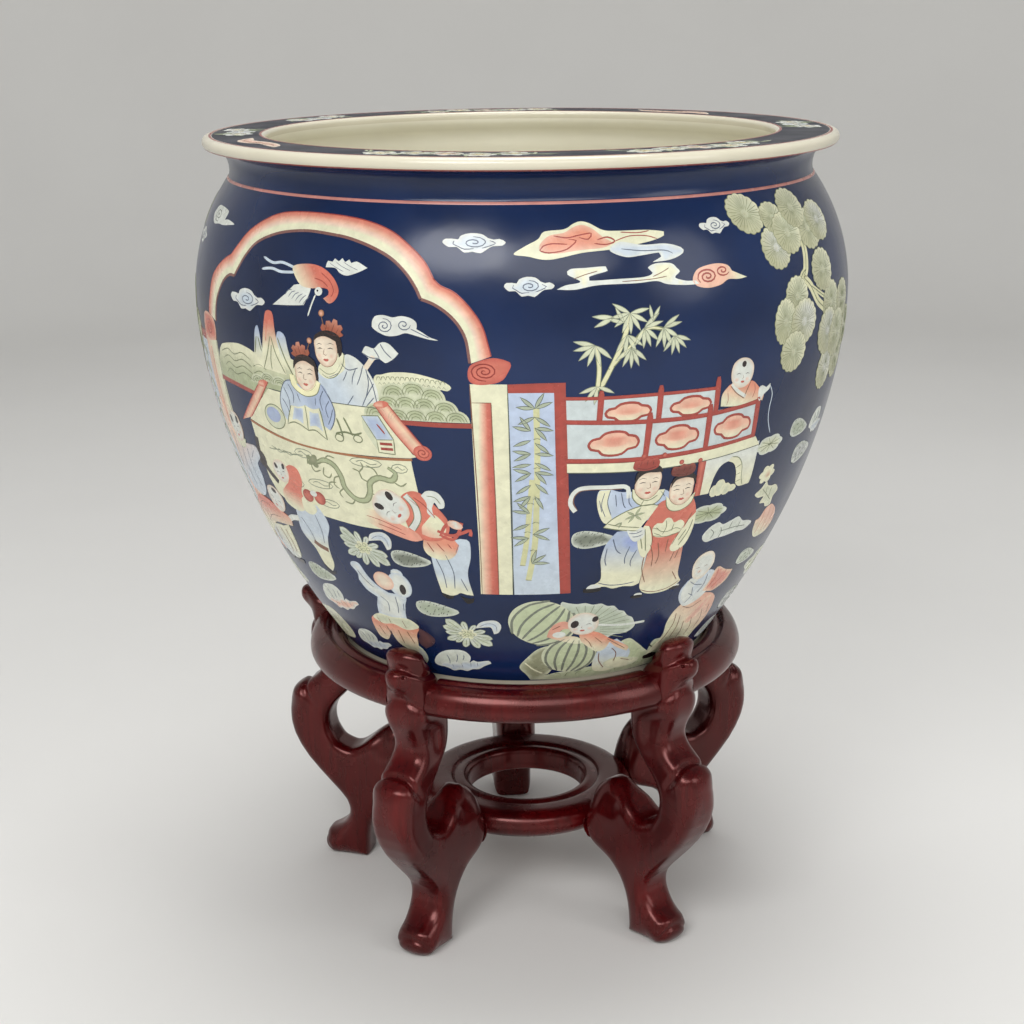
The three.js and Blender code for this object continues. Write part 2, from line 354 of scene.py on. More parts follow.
NAVY_GLAZE = glaze("navy_glaze", rgb(9, 27, 60), rgb(17, 41, 84), (0.17, 0.25), 0.03, 0.38)
RIM_GLAZE = glaze("rim_glaze", rgb(6, 14, 34), rgb(11, 22, 46), (0.3, 0.42), 0.03, 0.18)
# The bowl has one cream glaze, inside it and on its bead. Here that glaze comes in two copies. The lighter
# copy inside is painted light where the bowl's own wall shades it. The darker copy on the bead, the foot band
# and the inner lip is painted shade, which tones them down where the lamps light them strongly.
LIT_INSIDE_GLAZE = glaze("inside_glaze_painted_light", rgb(228, 224, 206), rgb(236, 233, 216))
SHADED_CREAM_GLAZE = glaze("cream_glaze_painted_shade", rgb(206, 200, 178), rgb(218, 212, 192), (0.12, 0.2))
BISCUIT = glaze("bare_biscuit", rgb(196, 184, 160), rgb(216, 206, 184), (0.6, 0.8), 0.1)
ENAMEL = enamel_material()
ROSEWOOD = wood_material("rosewood", rgb(40, 2, 4), rgb(78, 5, 8), (0.2, 0.3), 0.08)
DOWEL_WOOD = wood_material("dowel_wood", rgb(156, 118, 78), rgb(190, 150, 104), (0.55, 0.7), 0.0)


# ---- Enamel drawing ----

# How firmly a curve heads straight for the next point as it leaves a sharp corner.
CORNER_PULL = 0.9


def path(text):
    """Points written as "x,y x,y!", where ! marks a sharp corner."""
    points, corners = [], []
    for word in text.split():
        corners.append(word.endswith("!"))
        x, y = word.rstrip("!").split(",")
        points.append((float(x), float(y)))
    return np.array(points), corners


def oval(x, y, across, up, turn=0, lobes=0, depth=0.0):
    """A closed outline round (x, y), with lobes if asked for, as path() gives one."""
    count = max(10, 6 * lobes)
    angles = np.linspace(0, 2 * math.pi, count, endpoint=False)
    swell = 1 + depth * np.abs(np.cos(lobes * angles / 2)) - depth / 2 if lobes else 1
    local = np.stack([across * swell * np.cos(angles), up * swell * np.sin(angles)], axis=-1)
    cos, sin = math.cos(math.radians(turn)), math.sin(math.radians(turn))
    return local @ np.array([[cos, sin], [-sin, cos]]) + (x, y), [False] * count


def smoothed(outline, closed, step):
    """A smooth curve through the points of an outline, broken at its corners."""
    points, corners = path(outline) if isinstance(outline, str) else outline
    count = len(points)
    result = []
    spans = count if closed else count - 1
    for i in range(spans):
        a, b = points[i], points[(i + 1) % count]
        before = points[i - 1] if closed or i > 0 else a
        after = points[(i + 2) % count] if closed or i + 2 < count else b
        start = (b - before) / 2
        end = (after - a) / 2
        if corners[i]:
            start = (b - a) * CORNER_PULL
        if corners[(i + 1) % count]:
            end = (b - a) * CORNER_PULL
        pieces = max(1, int(np.hypot(*(b - a)) / step))
        for t in np.arange(pieces) / pieces:
            h1, h2 = 2 * t ** 3 - 3 * t * t + 1, t ** 3 - 2 * t * t + t
            h3, h4 = -2 * t ** 3 + 3 * t * t, t ** 3 - t * t
            result.append(h1 * a + h2 * start + h3 * b + h4 * end)
    if not closed:
        result.append(points[-1])
    return np.array(result)


def edge_distance(points, ring):
    """How far each point is from a closed ring of points."""
    a, b = ring, np.roll(ring, -1, axis=0)
    span = b - a
    away = points[:, None] - a[None]
    share = np.clip((away * span).sum(-1) / np.maximum((span * span).sum(-1), 1e-12), 0, 1)
    return np.hypot(*np.moveaxis(away - share[..., None] * span, -1, 0)).min(axis=1)


def inside_ring(points, ring):
    a, b = ring, np.roll(ring, -1, axis=0)
    x, y = points[:, :1], points[:, 1:]
    crosses = (a[:, 1] > y) != (b[:, 1] > y)
    rise = np.where(np.abs(b[:, 1] - a[:, 1]) < 1e-12, 1e-12, b[:, 1] - a[:, 1])
    at = a[:, 0] + (y - a[:, 1]) * (b[:, 0] - a[:, 0]) / rise
    return (crosses & (x < at)).sum(axis=1) % 2 == 1


def sideways(headings):
    """Unit steps to the left of headings."""
    headings = headings / np.maximum(np.hypot(*headings.T), 1e-9)[:, None]
    return np.stack([-headings[:, 1], headings[:, 0]], -1)


def blend_colours(first, second, share):
    share = np.asarray(share)[:, None]
    return (1 - share) * np.array(first) + share * np.array(second)


class Enamel:
    """One piece of raised enamel, made of fills and lines that lie in thin layers over each other."""

    # How high the lowest layer lies above the glaze, what each layer adds, and how deep all are rooted.
    BASE, LAYER, ROOT = 0.12, 0.055, -0.12
    # How far the edges of a line lie below its layer, and its crest above it.
    LINE_DEPTH, LINE_CREST = 0.1, 0.07
    # The spacing of a fill's inner points, and of the points along fills, bands, lines and bars.
    GRID, STEP, BAND_STEP, LINE_STEP, BAR_STEP = 4.0, 1.6, 3.0, 1.7, 2.0
    # How near to a fill's edge its inner points may lie, as a share of their spacing.
    MARGIN = 0.3
    # How wide a line is at its tips, as a share of its width, and how fast it grows from there.
    TIP, TAPER = 0.45, 6
    # While a group is repeated: its turn in degrees, and the piece that collects it.
    turn, whole = 0.0, None

    def __init__(self, name, azimuth, place=wall_point):
        self.name = name
        self.meridian = VIEW_AZIMUTH + math.radians(azimuth + Enamel.turn)
        self.place = place
        self.move = np.eye(3)
        self.points, self.faces, self.colours, self.sharp = [], [], [], []
        whole = Enamel.whole
        if whole:
            self.points, self.faces = whole.points, whole.faces
            self.colours, self.sharp = whole.colours, whole.sharp

    @contextmanager
    def at(self, x=0.0, y=0.0, size=1.0, turn=0.0, flip=False, up=None):
        """Draws what follows moved to (x, y), scaled, turned by degrees and, if asked, mirrored."""
        kept = self.move
        cos, sin = math.cos(math.radians(turn)), math.sin(math.radians(turn))
        across = -size if flip else size
        up = size if up is None else up
        self.move = kept @ np.array([[across * cos, -up * sin, x], [across * sin, up * cos, y], [0, 0, 1]])
        yield self
        self.move = kept

    def moved(self, points):
        return points @ self.move[:2, :2].T + self.move[:2, 2]

    def lay(self, flat, lift):
        return self.place(self.meridian, flat[:, 0], flat[:, 1], lift)

    def add(self, points, faces, colours):
        start = sum(len(p) for p in self.points)
        self.points.append(points)
        self.colours.append(colours)
        self.faces += [[start + i for i in face] for face in faces]
        return start

    def slab(self, flat, faces, border, shades, on):
        """Adds the top and the bottom of a slab, and the walls along its border."""
        size = len(flat)
        faces = faces + [[size + i for i in reversed(face)] for face in faces]
        faces += [[b, a, size + a, size + b] for a, b in border]
        points = np.vstack([self.lay(flat, self.BASE + on * self.LAYER), self.lay(flat, self.ROOT)])
        start = self.add(points, faces, np.vstack([shades, shades]))
        self.sharp += [(start + a, start + b) for a, b in border]

    def fill(self, colour, outline, on=0, rim=None, depth=3.0, to=None):
        """A slab of enamel. rim is the colour at its edge, and to is (colour, start, end) of a fade."""
        local = smoothed(outline, True, self.STEP / math.sqrt(abs(np.linalg.det(self.move[:2, :2]))))
        ring = self.moved(local)
        low, high = ring.min(0), ring.max(0)
        grid = np.stack(np.meshgrid(np.arange(low[0], high[0], self.GRID) + self.GRID / 2,
                                    np.arange(low[1], high[1], self.GRID) + self.GRID / 2), -1).reshape(-1, 2)
        if len(grid):
            grid = grid[inside_ring(grid, ring)]
        if len(grid):
            grid = grid[edge_distance(grid, ring) > self.MARGIN * self.GRID]
        flat = np.vstack([ring, grid]) if len(grid) else ring
        count = len(ring)
        edges = [(i, (i + 1) % count) for i in range(count)]
        made = geometry.delaunay_2d_cdt([Vector(p) for p in flat], edges, [list(range(count))], 1, 1e-4)
        flat = np.array([tuple(p) for p in made[0]])
        triangles = [list(t) for t in made[2]]
        if not triangles:
            return
        used = {}
        for triangle in triangles:
            for i in range(3):
                key = (triangle[i], triangle[(i + 1) % 3])
                used[key] = used.get(key, 0) + 1
        border = [key for key in used if (key[1], key[0]) not in used]
        shades = np.tile(np.array(colour), (len(flat), 1))
        if rim is not None:
            shades = blend_colours(rim, colour, np.clip(edge_distance(flat, ring) / depth, 0, 1))
        if to is not None:
            other, start, end = to
            start, end = self.moved(np.array([start, end], float))
            along = end - start
            share = np.clip((flat - start) @ along / (along @ along), 0, 1)
            shades = shades + share[:, None] * (np.array(other) - shades)
        self.slab(flat, triangles, border, shades, on)

    def band(self, first, second, colours, on=0):
        """A strip between two open edges, with colours laid across it from the first edge to the second."""
        one, two = (smoothed(edge, False, self.BAND_STEP) for edge in (first, second))
        count = max(len(one), len(two))
        along = np.linspace(0, 1, count)
        one, two = (np.stack([np.interp(along, np.linspace(0, 1, len(e)), e[:, i]) for i in (0, 1)], -1)
                    for e in (one, two))
        across = len(colours)
        flat = np.concatenate([one + (two - one) * k / (across - 1) for k in range(across)])
        shades = np.concatenate([np.tile(np.array(c), (count, 1)) for c in colours])
        flat = self.moved(flat)
        faces = []
        for k in range(across - 1):
            for i in range(count - 1):
                a, b = k * count + i, (k + 1) * count + i
                faces.append([a, b, b + 1, a + 1])
        loop = [k * count for k in range(across)] + [(across - 1) * count + i for i in range(1, count)]
        loop += [k * count + count - 1 for k in range(across - 2, -1, -1)] + list(range(count - 2, 0, -1))
        border = list(zip(loop, loop[1:] + loop[:1]))
        if self.faces_down(flat, faces[0]):
            faces = [face[::-1] for face in faces]
            border = [(b, a) for a, b in border]
        self.slab(flat, faces, border, shades, on)

    @staticmethod
    def faces_down(flat, face):
        a, b, c = flat[face[0]], flat[face[1]], flat[face[2]]
        return (b[0] - a[0]) * (c[1] - a[1]) - (b[1] - a[1]) * (c[0] - a[0]) < 0

    def line(self, colour, width, outline, on=1, closed=False, taper=True):
        """A raised line: a low ridge with a pointed section that thins out at its ends."""
        scale = math.sqrt(abs(np.linalg.det(self.move[:2, :2])))
        curve = self.moved(smoothed(outline, closed, self.LINE_STEP / scale))
        if len(curve) < 2:
            return
        if closed:
            ahead, behind = np.roll(curve, -1, axis=0), np.roll(curve, 1, axis=0)
        else:
            ahead, behind = np.vstack([curve[1:], curve[-1:]]), np.vstack([curve[:1], curve[:-1]])
        side = sideways(ahead - behind)
        count = len(curve)
        thin = np.ones(count)
        if taper and not closed:
            share = np.linspace(0, 1, count)
            thin = np.clip(np.minimum(share, 1 - share) * self.TAPER + self.TIP, 0, 1)
        half = (width / 2 * thin)[:, None]
        lift = self.BASE + on * self.LAYER
        left, right = (self.lay(curve + way * side * half, lift - self.LINE_DEPTH) for way in (1, -1))
        crest = self.lay(curve, lift + self.LINE_CREST)
        points = np.stack([left, crest, right], 1).reshape(-1, 3)
        faces = []
        for i in range(count if closed else count - 1):
            j = (i + 1) % count
            for a, b in ((0, 1), (1, 2), (2, 0)):
                faces.append([3 * i + a, 3 * i + b, 3 * j + b, 3 * j + a])
        if not closed:
            faces += [[2, 1, 0], [3 * count - 3, 3 * count - 2, 3 * count - 1]]
        start = self.add(points, faces, np.tile(np.array(colour), (len(points), 1)))
        for i in range(count if closed else count - 1):
            j = (i + 1) % count
            self.sharp += [(start + 3 * i, start + 3 * j), (start + 3 * i + 2, start + 3 * j + 2)]

    def bar(self, colour, width, outline, on=0):
        """A flat strip of even width along a curve."""
        curve = smoothed(outline, False, self.BAR_STEP)
        side = sideways(np.gradient(curve, axis=0)) * width / 2
        plain = [False] * len(curve)
        self.band((curve + side, plain), (curve - side, plain), [colour, colour], on)

    def lines(self, colour, width, *outlines, on=1):
        for outline in outlines:
            self.line(colour, width, outline, on)

    def finish(self):
        points = np.vstack(self.points)
        obj = make_object(self.name, points, self.faces, [ENAMEL])
        mesh = obj.data
        paint = mesh.color_attributes.new("paint", "FLOAT_COLOR", "POINT")
        paint.data.foreach_set("color", np.vstack(self.colours).astype(np.float32).ravel())
        sharp = {tuple(sorted(pair)) for pair in self.sharp}
        marks = [tuple(sorted(e.vertices)) in sharp for e in mesh.edges]
        mesh.attributes.new("sharp_edge", "BOOLEAN", "EDGE").data.foreach_set("value", marks)
        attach(obj, "bowl")
        return obj


@contextmanager
def enamel(name, azimuth, place=wall_point):
    piece = Enamel(name, azimuth, place)
    yield piece
    if not Enamel.whole:
        piece.finish()


@contextmanager
def repeated(name, turn):
    """Draws what it holds turned by degrees round the bowl, as one piece."""
    whole = Enamel(name, 0)
    Enamel.turn, Enamel.whole = turn, whole
    yield
    Enamel.turn, Enamel.whole = 0.0, None
    whole.finish()


# ---- The bowl ----

# The material slots of the bowl.
DEEP, PALE, BARE, FLAT, INSIDE = range(5)
# The flat sides of the turned shapes, and the angle in degrees from which their edges are sharp.
BOWL_SIDES, BOWL_CREASE = 288, 50
STRETCHER_SIDES, STRETCHER_CREASE = 160, 40
# A painted ring: how proud it stands, how deep it is rooted, and the share of its width that its top takes.
RING_PROUD, RING_ROOT, RING_TOP = 0.16, -0.4, 0.4


def bowl_profile():
    """The bowl's section as (radius, height above the floor), from under the foot round to the inside."""
    lift = BOWL_BOTTOM / MM
    section, slots = [], []

    def run(points, slot):
        for radius, height in points:
            section.append((max(radius, 0.0), height + lift))
            slots.append(slot)

    def arc(x, y, radius, start, end, steps):
        angles = np.radians(np.linspace(start, end, steps))
        return [(x + radius * math.cos(a), y + radius * math.sin(a)) for a in angles]

    foot = FOOT_BAND[0] - 1.2
    levels = np.linspace(0, WALL_HEIGHT, 110)
    radii, heights, rise_out, rise_up = wall_at(levels)
    outer, inner = (np.stack([radii - depth * rise_up, heights + depth * rise_out], -1)
                    for depth in (GLAZE_INSET, WALL_THICKNESS))
    top = RIM_TOP / MM - lift - GLAZE_INSET
    corner, shoulder = SHOULDER
    run(UNDERSIDE, BARE)
    run(arc(137.5, 2.2, 2, 200, 270, 4), BARE)
    run(arc(foot - 2.2, 2.4, 2.2, 270, 360, 5), BARE)
    run([(foot, 3.4), (foot + 0.2, 6.6)], PALE)
    run(outer[1:], DEEP)
    run([(corner + x, shoulder + y) for x, y in NECK], DEEP)
    run(arc(RIM_FACE, top - BEAD_RADIUS, BEAD_RADIUS, -114, 78, 15), PALE)
    run([(RIM_FACE - 0.6, top)], PALE)
    run([(RIM_FACE - 3, top), (RIM_FACE - 20, top), (RIM_INNER + 3.4, top)], FLAT)
    run(arc(RIM_INNER + 3.0, top - 3.0, 3.0, 84, 180, 7), PALE)
    run([(RIM_INNER + 0.2, top - 6), (RIM_INNER + 2.6, top - 10.5), (RIM_INNER + 9, top - 15)], INSIDE)
    run([(corner + x, shoulder + y) for x, y in NECK_INSIDE], INSIDE)
    kept = inner[(levels > 16) & (levels < WALL_HEIGHT - 4)]
    run(kept[::-1], INSIDE)
    low = kept[0]
    run([(low[0] - 6, low[1] - 4.4), (low[0] - 14, low[1] - 6.6), (low[0] - 26, 17.2), (0, 17)], INSIDE)
    return section, slots


def make_bowl():
    section, slots = bowl_profile()
    # The inside and the bead take the lighter and the darker copy of one cream glaze: painted light and
    # painted shade.
    glazes = [NAVY_GLAZE, SHADED_CREAM_GLAZE, BISCUIT, RIM_GLAZE, LIT_INSIDE_GLAZE]
    bowl = lathe("glazed_bowl", section, slots, glazes, BOWL_SIDES, BOWL_CREASE)
    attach(bowl, "bowl")
    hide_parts("bowl")


def ring_line(name, radius, height, width, colour, tilt=90):
    """A painted line right round the bowl. tilt is the way its face looks, in degrees up from level."""
    half, flat = width / 2, RING_TOP * width / 2
    level = BOWL_BOTTOM / MM + height
    cos, sin = math.cos(math.radians(tilt)), math.sin(math.radians(tilt))
    corners = [(-half, RING_ROOT), (half, RING_ROOT), (half, 0.0), (flat, RING_PROUD), (-flat, RING_PROUD),
               (-half, 0.0)]
    section = [(radius + cos * h - sin * w, level + sin * h + cos * w) for w, h in corners]
    section.append(section[0])
    shader = Shader(name, IOR=1.5)
    uneven = shader.levels(shader.noise(70, 4), 0, 1)
    shader.set("Base Color", shader.mix(uneven, colour, tuple(0.78 * c for c in colour[:3]) + (1.0,)))
    shader.set("Roughness", shader.levels(shader.noise(50, 2), 0.18, 0.32))
    ring = lathe(name, section, [0] * len(section), [shader.material], BOWL_SIDES)
    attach(ring, "bowl")


def wall_ring(name, y, width, colour):
    radius, height, out, up = wall_at(y)
    ring_line(name, radius - GLAZE_INSET * up, height + GLAZE_INSET * out, width, colour,
              math.degrees(math.atan2(-out, up)))


# ---- The stand ----

LEG_COUNT = 5
LEG_TURN = 2 * math.pi / LEG_COUNT
FIRST_LEG = -math.pi / 2 - LEG_TURN / 2
LEG_HALF = 17.0
RAIL_GAP = 0.3
LEG_VOXEL = 1.3
LEG_SMOOTHING = 0.6
LEG_SMOOTH_ROUNDS = 14
LAST_SMOOTHING = 0.5
LAST_SMOOTH_ROUNDS = 3
LACQUER = 0.35
SECTION_STEP = 1.2
RAIL_STEPS = 44
# A rail is drawn over this share of the way to the middles of its legs, and then cut at their faces.
RAIL_REACH = 0.92


def leg_angle(k):
    return FIRST_LEG + k * LEG_TURN


def side_outline(mesh):
    """The outline of the flat side of a leg on +X, as a closed ring of (radius, height) in millimetres."""
    points = np.array([tuple(v.co) for v in mesh.vertices]) / MM
    used = {}
    for polygon in mesh.polygons:
        corners = [tuple(np.round(points[i], 2)) for i in polygon.vertices]
        if all(abs(c[1] - LEG_HALF) < 0.05 for c in corners):
            for a, b in zip(corners, corners[1:] + corners[:1]):
                used[(a, b)] = True
    after = {a: b for a, b in used if (b, a) not in used}
    rings = []
    while after:
        start, here = after.popitem()
        ring = [start]
        while here != start:
            ring.append(here)
            here = after.pop(here)
        rings.append(np.array(ring)[:, [0, 2]])
    return max(rings, key=lambda ring: np.ptp(ring, axis=0).sum())


def nearest_on(ring, flat):
    """For each flat point, how far it is from the ring (negative inside) and the way from the ring to it."""
    a, b = ring, np.roll(ring, -1, axis=0)
    span = b - a
    away = flat[:, None] - a[None]
    share = np.clip((away * span).sum(-1) / (span * span).sum(-1), 0, 1)
    gap = away - share[..., None] * span
    distance = np.hypot(gap[..., 0], gap[..., 1])
    nearest = distance.argmin(axis=1)
    rows = np.arange(len(flat))
    sign = np.where(inside_ring(flat, ring), -1.0, 1.0)
    away_from = gap[rows, nearest] / np.maximum(distance[rows, nearest], 1e-6)[:, None] * sign[:, None]
    return distance[rows, nearest] * sign, away_from


def rounded_leg(points, ring):
    """Moves the points of a leg on +X, whose edges are square, onto one with its edges rounded over."""
    flat = points[:, [0, 2]]
    radius = np.full(len(points), EDGE_RADIUS)
    for place, size, more in LEG_ROUNDS:
        radius += more * np.exp(-((flat - place) ** 2).sum(axis=1) / size ** 2)
    radius = np.minimum(radius, LEG_HALF - 0.5)
    depth, outwards = nearest_on(ring, flat)
    side = np.sign(points[:, 1])
    beyond = np.abs(points[:, 1]) - LEG_HALF
    out, over = depth + radius, beyond + radius
    corner = (out > 0) & (over > 0)
    squeeze = np.where(corner, radius / np.maximum(np.hypot(out, over), 1e-6), 1.0)
    new_depth = np.where(corner, out * squeeze - radius, np.where(over <= 0, 0.0, depth))
    new_beyond = np.where(corner, over * squeeze - radius, np.where(out <= 0, 0.0, beyond))
    flat = flat + outwards * (new_depth - depth)[:, None]
    half = (LEG_HALF + new_beyond) * leg_slimness(flat[:, 0], flat[:, 1])
    return np.stack([flat[:, 0], side * half, flat[:, 1]], axis=-1)


def leg_slimness(radius, height):
    """The horn, the waist and the end of the hook are slimmer than the rest of the leg."""
    def rise(value, start, length):
        share = np.clip((value - start) / length, 0, 1)
        return share * share * (3 - 2 * share)

    front = rise(radius, 150 + 24 * rise(height, 185, 20), 12) * rise(height, 158, 22)
    hook = rise(-radius, -136, 16) * rise(height, 90, 18)
    ball = rise(radius, 177, 13) * rise(height, 206, 12)
    return 1 - 0.2 * front - 0.24 * hook - 0.26 * ball


def leg_mesh():
    """The first leg's shape, turned onto +X, with its edges rounded over and its creases carved."""
    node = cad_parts["leg_1"]
    obj = linked("leg_shape", node.data.copy())
    obj.data.transform(Matrix.Rotation(-leg_angle(0), 4, "Z"))
    ring = side_outline(obj.data)
    remesh = obj.modifiers.new("remesh", "REMESH")
    remesh.mode = "VOXEL"
    remesh.voxel_size = LEG_VOXEL * MM
    square = bpy.data.meshes.new_from_object(obj.evaluated_get(bpy.context.evaluated_depsgraph_get()))
    set_coordinates(square, rounded_leg(coordinates(square), ring))
    obj.modifiers.clear()
    obj.data = square
    smooth = obj.modifiers.new("smooth", "SMOOTH")
    smooth.factor = LEG_SMOOTHING
    smooth.iterations = LEG_SMOOTH_ROUNDS
    done = bpy.data.meshes.new_from_object(obj.evaluated_get(bpy.context.evaluated_depsgraph_get()))
    bpy.data.objects.remove(obj)
    points = coordinates(done)
    normals = np.array([tuple(v.normal) for v in done.vertices])
    points += normals * (LACQUER + leg_carving(points))[:, None]
    set_coordinates(done, points)
    work = bmesh.new()
    work.from_mesh(done)
    for _ in range(LAST_SMOOTH_ROUNDS):
        bmesh.ops.smooth_vert(work, verts=work.verts, factor=LAST_SMOOTHING, use_axis_x=True, use_axis_y=True,
                              use_axis_z=True)
    work.to_mesh(done)
    work.free()
    points = coordinates(done)
    points[:, 2] = np.maximum(points[:, 2], 0)
    set_coordinates(done, points)
    done.polygons.foreach_set("use_smooth", [True] * len(done.polygons))
    done.update()
    return done


def coordinates(mesh):
    """Where the vertices of a mesh are, in millimetres."""
    points = np.zeros(len(mesh.vertices) * 3)
    mesh.vertices.foreach_get("co", points)
    return points.reshape(-1, 3) / MM


def set_coordinates(mesh, points):
    mesh.vertices.foreach_set("co", (points * MM).ravel())


# How far a leg's edges are rounded over, and the places (radius, height), sizes and amounts where it is more.
EDGE_RADIUS = 8.0
LEG_ROUNDS = [
    ((100, 100), 20, 8.0),
    ((124, 120), 14, 7.0),
    ((204, 146), 17, 7.0),
    ((170, 10), 20, 7.0),
    ((180, 248), 18, 7.0),
    ((192, 230), 12, 6.0),
]
# Creases of a leg: the place (radius, height), the way across the crease, its depth, width and reach inwards.
LEG_CREASES = [
    ((190, 158.5), (-0.78, 0.62), 3.6, 2.2, 16),
    ((178, 15.5), (-0.62, 0.78), 1.9, 1.5, 9),
    ((181, 243), (-0.2, 0.98), 2.9, 2.0, 30),
    ((191, 219.5), (-0.25, 0.97), 3.0, 2.8, 16),
]
# Swellings (and hollows, where the amount is negative) of a leg: the place (radius, height), size and amount.
LEG_SWELLS = [
    ((197, 148), 9, 2.3),
    ((193, 231), 9, 5.0),
    ((178, 250), 7, 1.4),
    ((172, 8), 9, 1.6),
    ((166, 31), 9, -1.5),
    ((177, 20), 4, 1.0),
    ((180, 200), 12, 1.8),
    ((181, 168), 8, -1.2),
    ((98, 104), 13, 2.0),
    ((111, 124), 9, -3.2),
]


def leg_carving(points):
    """How far each point of a leg on +X moves along its normal, in millimetres."""
    move = np.zeros(len(points))
    side = np.abs(points[:, 1])
    for (radius, height), (over, up), depth, width, reach in LEG_CREASES:
        x, z = points[:, 0] - radius, points[:, 2] - height
        across = x * over + z * up + 0.018 * side ** 2
        inwards = np.abs(x * up - z * over)
        fade = np.clip(1.4 - inwards / reach, 0, 1)
        move -= depth * fade * np.exp(-(across / width) ** 2)
    for (radius, height), size, amount in LEG_SWELLS:
        away = (points[:, 0] - radius) ** 2 + (points[:, 2] - height) ** 2
        move += amount * np.exp(-away / size ** 2)
    return move


def make_legs():
    shape = leg_mesh()
    for k in range(LEG_COUNT):
        mesh = shape.copy()
        mesh.transform(Matrix.Rotation(leg_angle(k), 4, "Z"))
        mesh.materials.clear()
        mesh.materials.append(ROSEWOOD)
        obj = linked(f"carved_leg_{k + 1}", mesh)
        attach(obj, "stand")
        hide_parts(f"leg_{k + 1}")


def curve_section(outline):
    """A closed smooth section of (radius, height) pairs from an outline written as path() takes it."""
    points = [tuple(p) for p in smoothed(outline, True, SECTION_STEP)]
    return points + [points[0]]


# The sections of a rail and of the stretcher ring, as (radius, height above the floor).
RAIL_SECTION = (
    "139.4,204.2! 168,204.2 174,205.6 176.6,209.6 176.6,214.5 174.6,220.4 171.2,225 166.6,227.6 "
    "163.2,227.9 161.9,226.9 160.6,225.6 159.4,226.6 157.6,228.2 155,228.5 152,227.4 150.6,225.4 "
    "150.6,210.3! 139.4,210.3!"
)
RING_SECTION = (
    "51.8,67.4 79,67.2 85.4,69.8 88.2,74.6 88.2,79.4 85.4,84.8 79,87.8 68,87.9 62.8,87.2 60.6,85.9 "
    "58.6,86.2 55.6,87 52,86.8 49.6,85 48.7,81 48.7,71.4"
)


def make_rails():
    section = curve_section(RAIL_SECTION)
    half = LEG_TURN / 2
    for k in range(LEG_COUNT):
        points, faces = [], []
        for i in range(RAIL_STEPS + 1):
            turn = half * (2 * i / RAIL_STEPS - 1) * RAIL_REACH
            points += [(r * math.cos(turn) * MM, r * math.sin(turn) * MM, h * MM) for r, h in section[:-1]]
        n = len(section) - 1
        for i in range(RAIL_STEPS):
            for j in range(n):
                m = (j + 1) % n
                faces.append([i * n + j, (i + 1) * n + j, (i + 1) * n + m, i * n + m])
        faces += [list(range(n)), list(range(RAIL_STEPS * n + n - 1, RAIL_STEPS * n - 1, -1))]
        obj = make_object(f"moulded_rail_{k + 1}", points, faces, [ROSEWOOD])
        cut_rail_ends(obj.data, half)
        obj.data.transform(Matrix.Rotation(leg_angle(k) + half, 4, "Z"))
        obj.data.set_sharp_from_angle(angle=math.radians(40))
        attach(obj, "stand")
        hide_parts(f"rail_{k + 1}")


def cut_rail_ends(mesh, half):
    """Cuts a rail off just short of the faces of the legs on both sides of it."""
    work = bmesh.new()
    work.from_mesh(mesh)
    for side in (-1, 1):
        face = Vector((-math.sin(half), side * math.cos(half), 0))
        start = -face * (LEG_HALF + RAIL_GAP) * MM
        everything = work.verts[:] + work.edges[:] + work.faces[:]
        cut = bmesh.ops.bisect_plane(work, geom=everything, plane_co=start, plane_no=face, clear_outer=True)
        edges = [e for e in cut["geom_cut"] if isinstance(e, bmesh.types.BMEdge)]
        bmesh.ops.edgeloop_fill(work, edges=edges)
    bmesh.ops.recalc_face_normals(work, faces=work.faces[:])
    work.to_mesh(mesh)
    work.free()


def make_stretcher():
    section = curve_section(RING_SECTION)
    slots = [0] * len(section)
    ring = lathe("turned_stretcher", section, slots, [ROSEWOOD], STRETCHER_SIDES, STRETCHER_CREASE)
    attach(ring, "stand")
    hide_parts("stretcher_ring")


def finish_cad_nodes():
    """Gives every CAD piece a material, so that those that show look like what they are made of."""
    for name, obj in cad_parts.items():
        material = DOWEL_WOOD if "dowel" in name else ROSEWOOD
        if name == "bowl":
            material = NAVY_GLAZE
        obj.data.materials.clear()
        obj.data.materials.append(material)


# ---- Camera, stage and light ----

# The lamps: name, place in metres, size in metres and power in watts. All look at one target.
LAMPS = [
    ("window", (-1.2, -2.2, 2.3), (1.7, 1.3), 41),
    ("fill", (2.0, -1.6, 1.5), (1.2, 1.6), 12),
    ("top", (0.1, 0.3, 2.7), (1.6, 1.6), 34),
    ("front", (0.25, -2.6, 2.1), (2.2, 1.2), 22),
]
LAMP_TARGET = (0, 0, 0.35)
SKY_COLOUR = (0.9, 0.92, 0.95, 1)
SKY_STRENGTH = 0.2


def make_camera():
    data = bpy.data.cameras.new("camera")
    data.lens = CAMERA_LENS
    data.sensor_width = CAMERA_SENSOR
    data.clip_start = 0.01
    camera = linked("camera", data)
    flat, steep = math.cos(CAMERA_PITCH), math.sin(CAMERA_PITCH)
    ahead = Vector((math.sin(CAMERA_YAW) * flat, math.cos(CAMERA_YAW) * flat, -steep))
    right = Vector((math.cos(CAMERA_YAW), -math.sin(CAMERA_YAW), 0))
    up = right.cross(ahead)
    cos, sin = math.cos(CAMERA_ROLL), math.sin(CAMERA_ROLL)
    turned_right = right * cos + up * sin
    turned_up = -right * sin + up * cos
    axes = Matrix((turned_right, turned_up, -ahead)).transposed().to_4x4()
    place = Matrix.Translation((0, -CAMERA_DISTANCE, CAMERA_HEIGHT)) @ axes
    camera.matrix_world = Matrix.Rotation(VIEW_AZIMUTH, 4, "Z") @ place
    bpy.context.scene.camera = camera


def stage_material(name, colour):
    shader = Shader(name, Roughness=0.85)
    cloud = shader.levels(shader.noise(3, 3), 0, 0.12)
    shader.set("Base Color", shader.mix(cloud, colour, rgb(205, 203, 200)))
    return shader.material


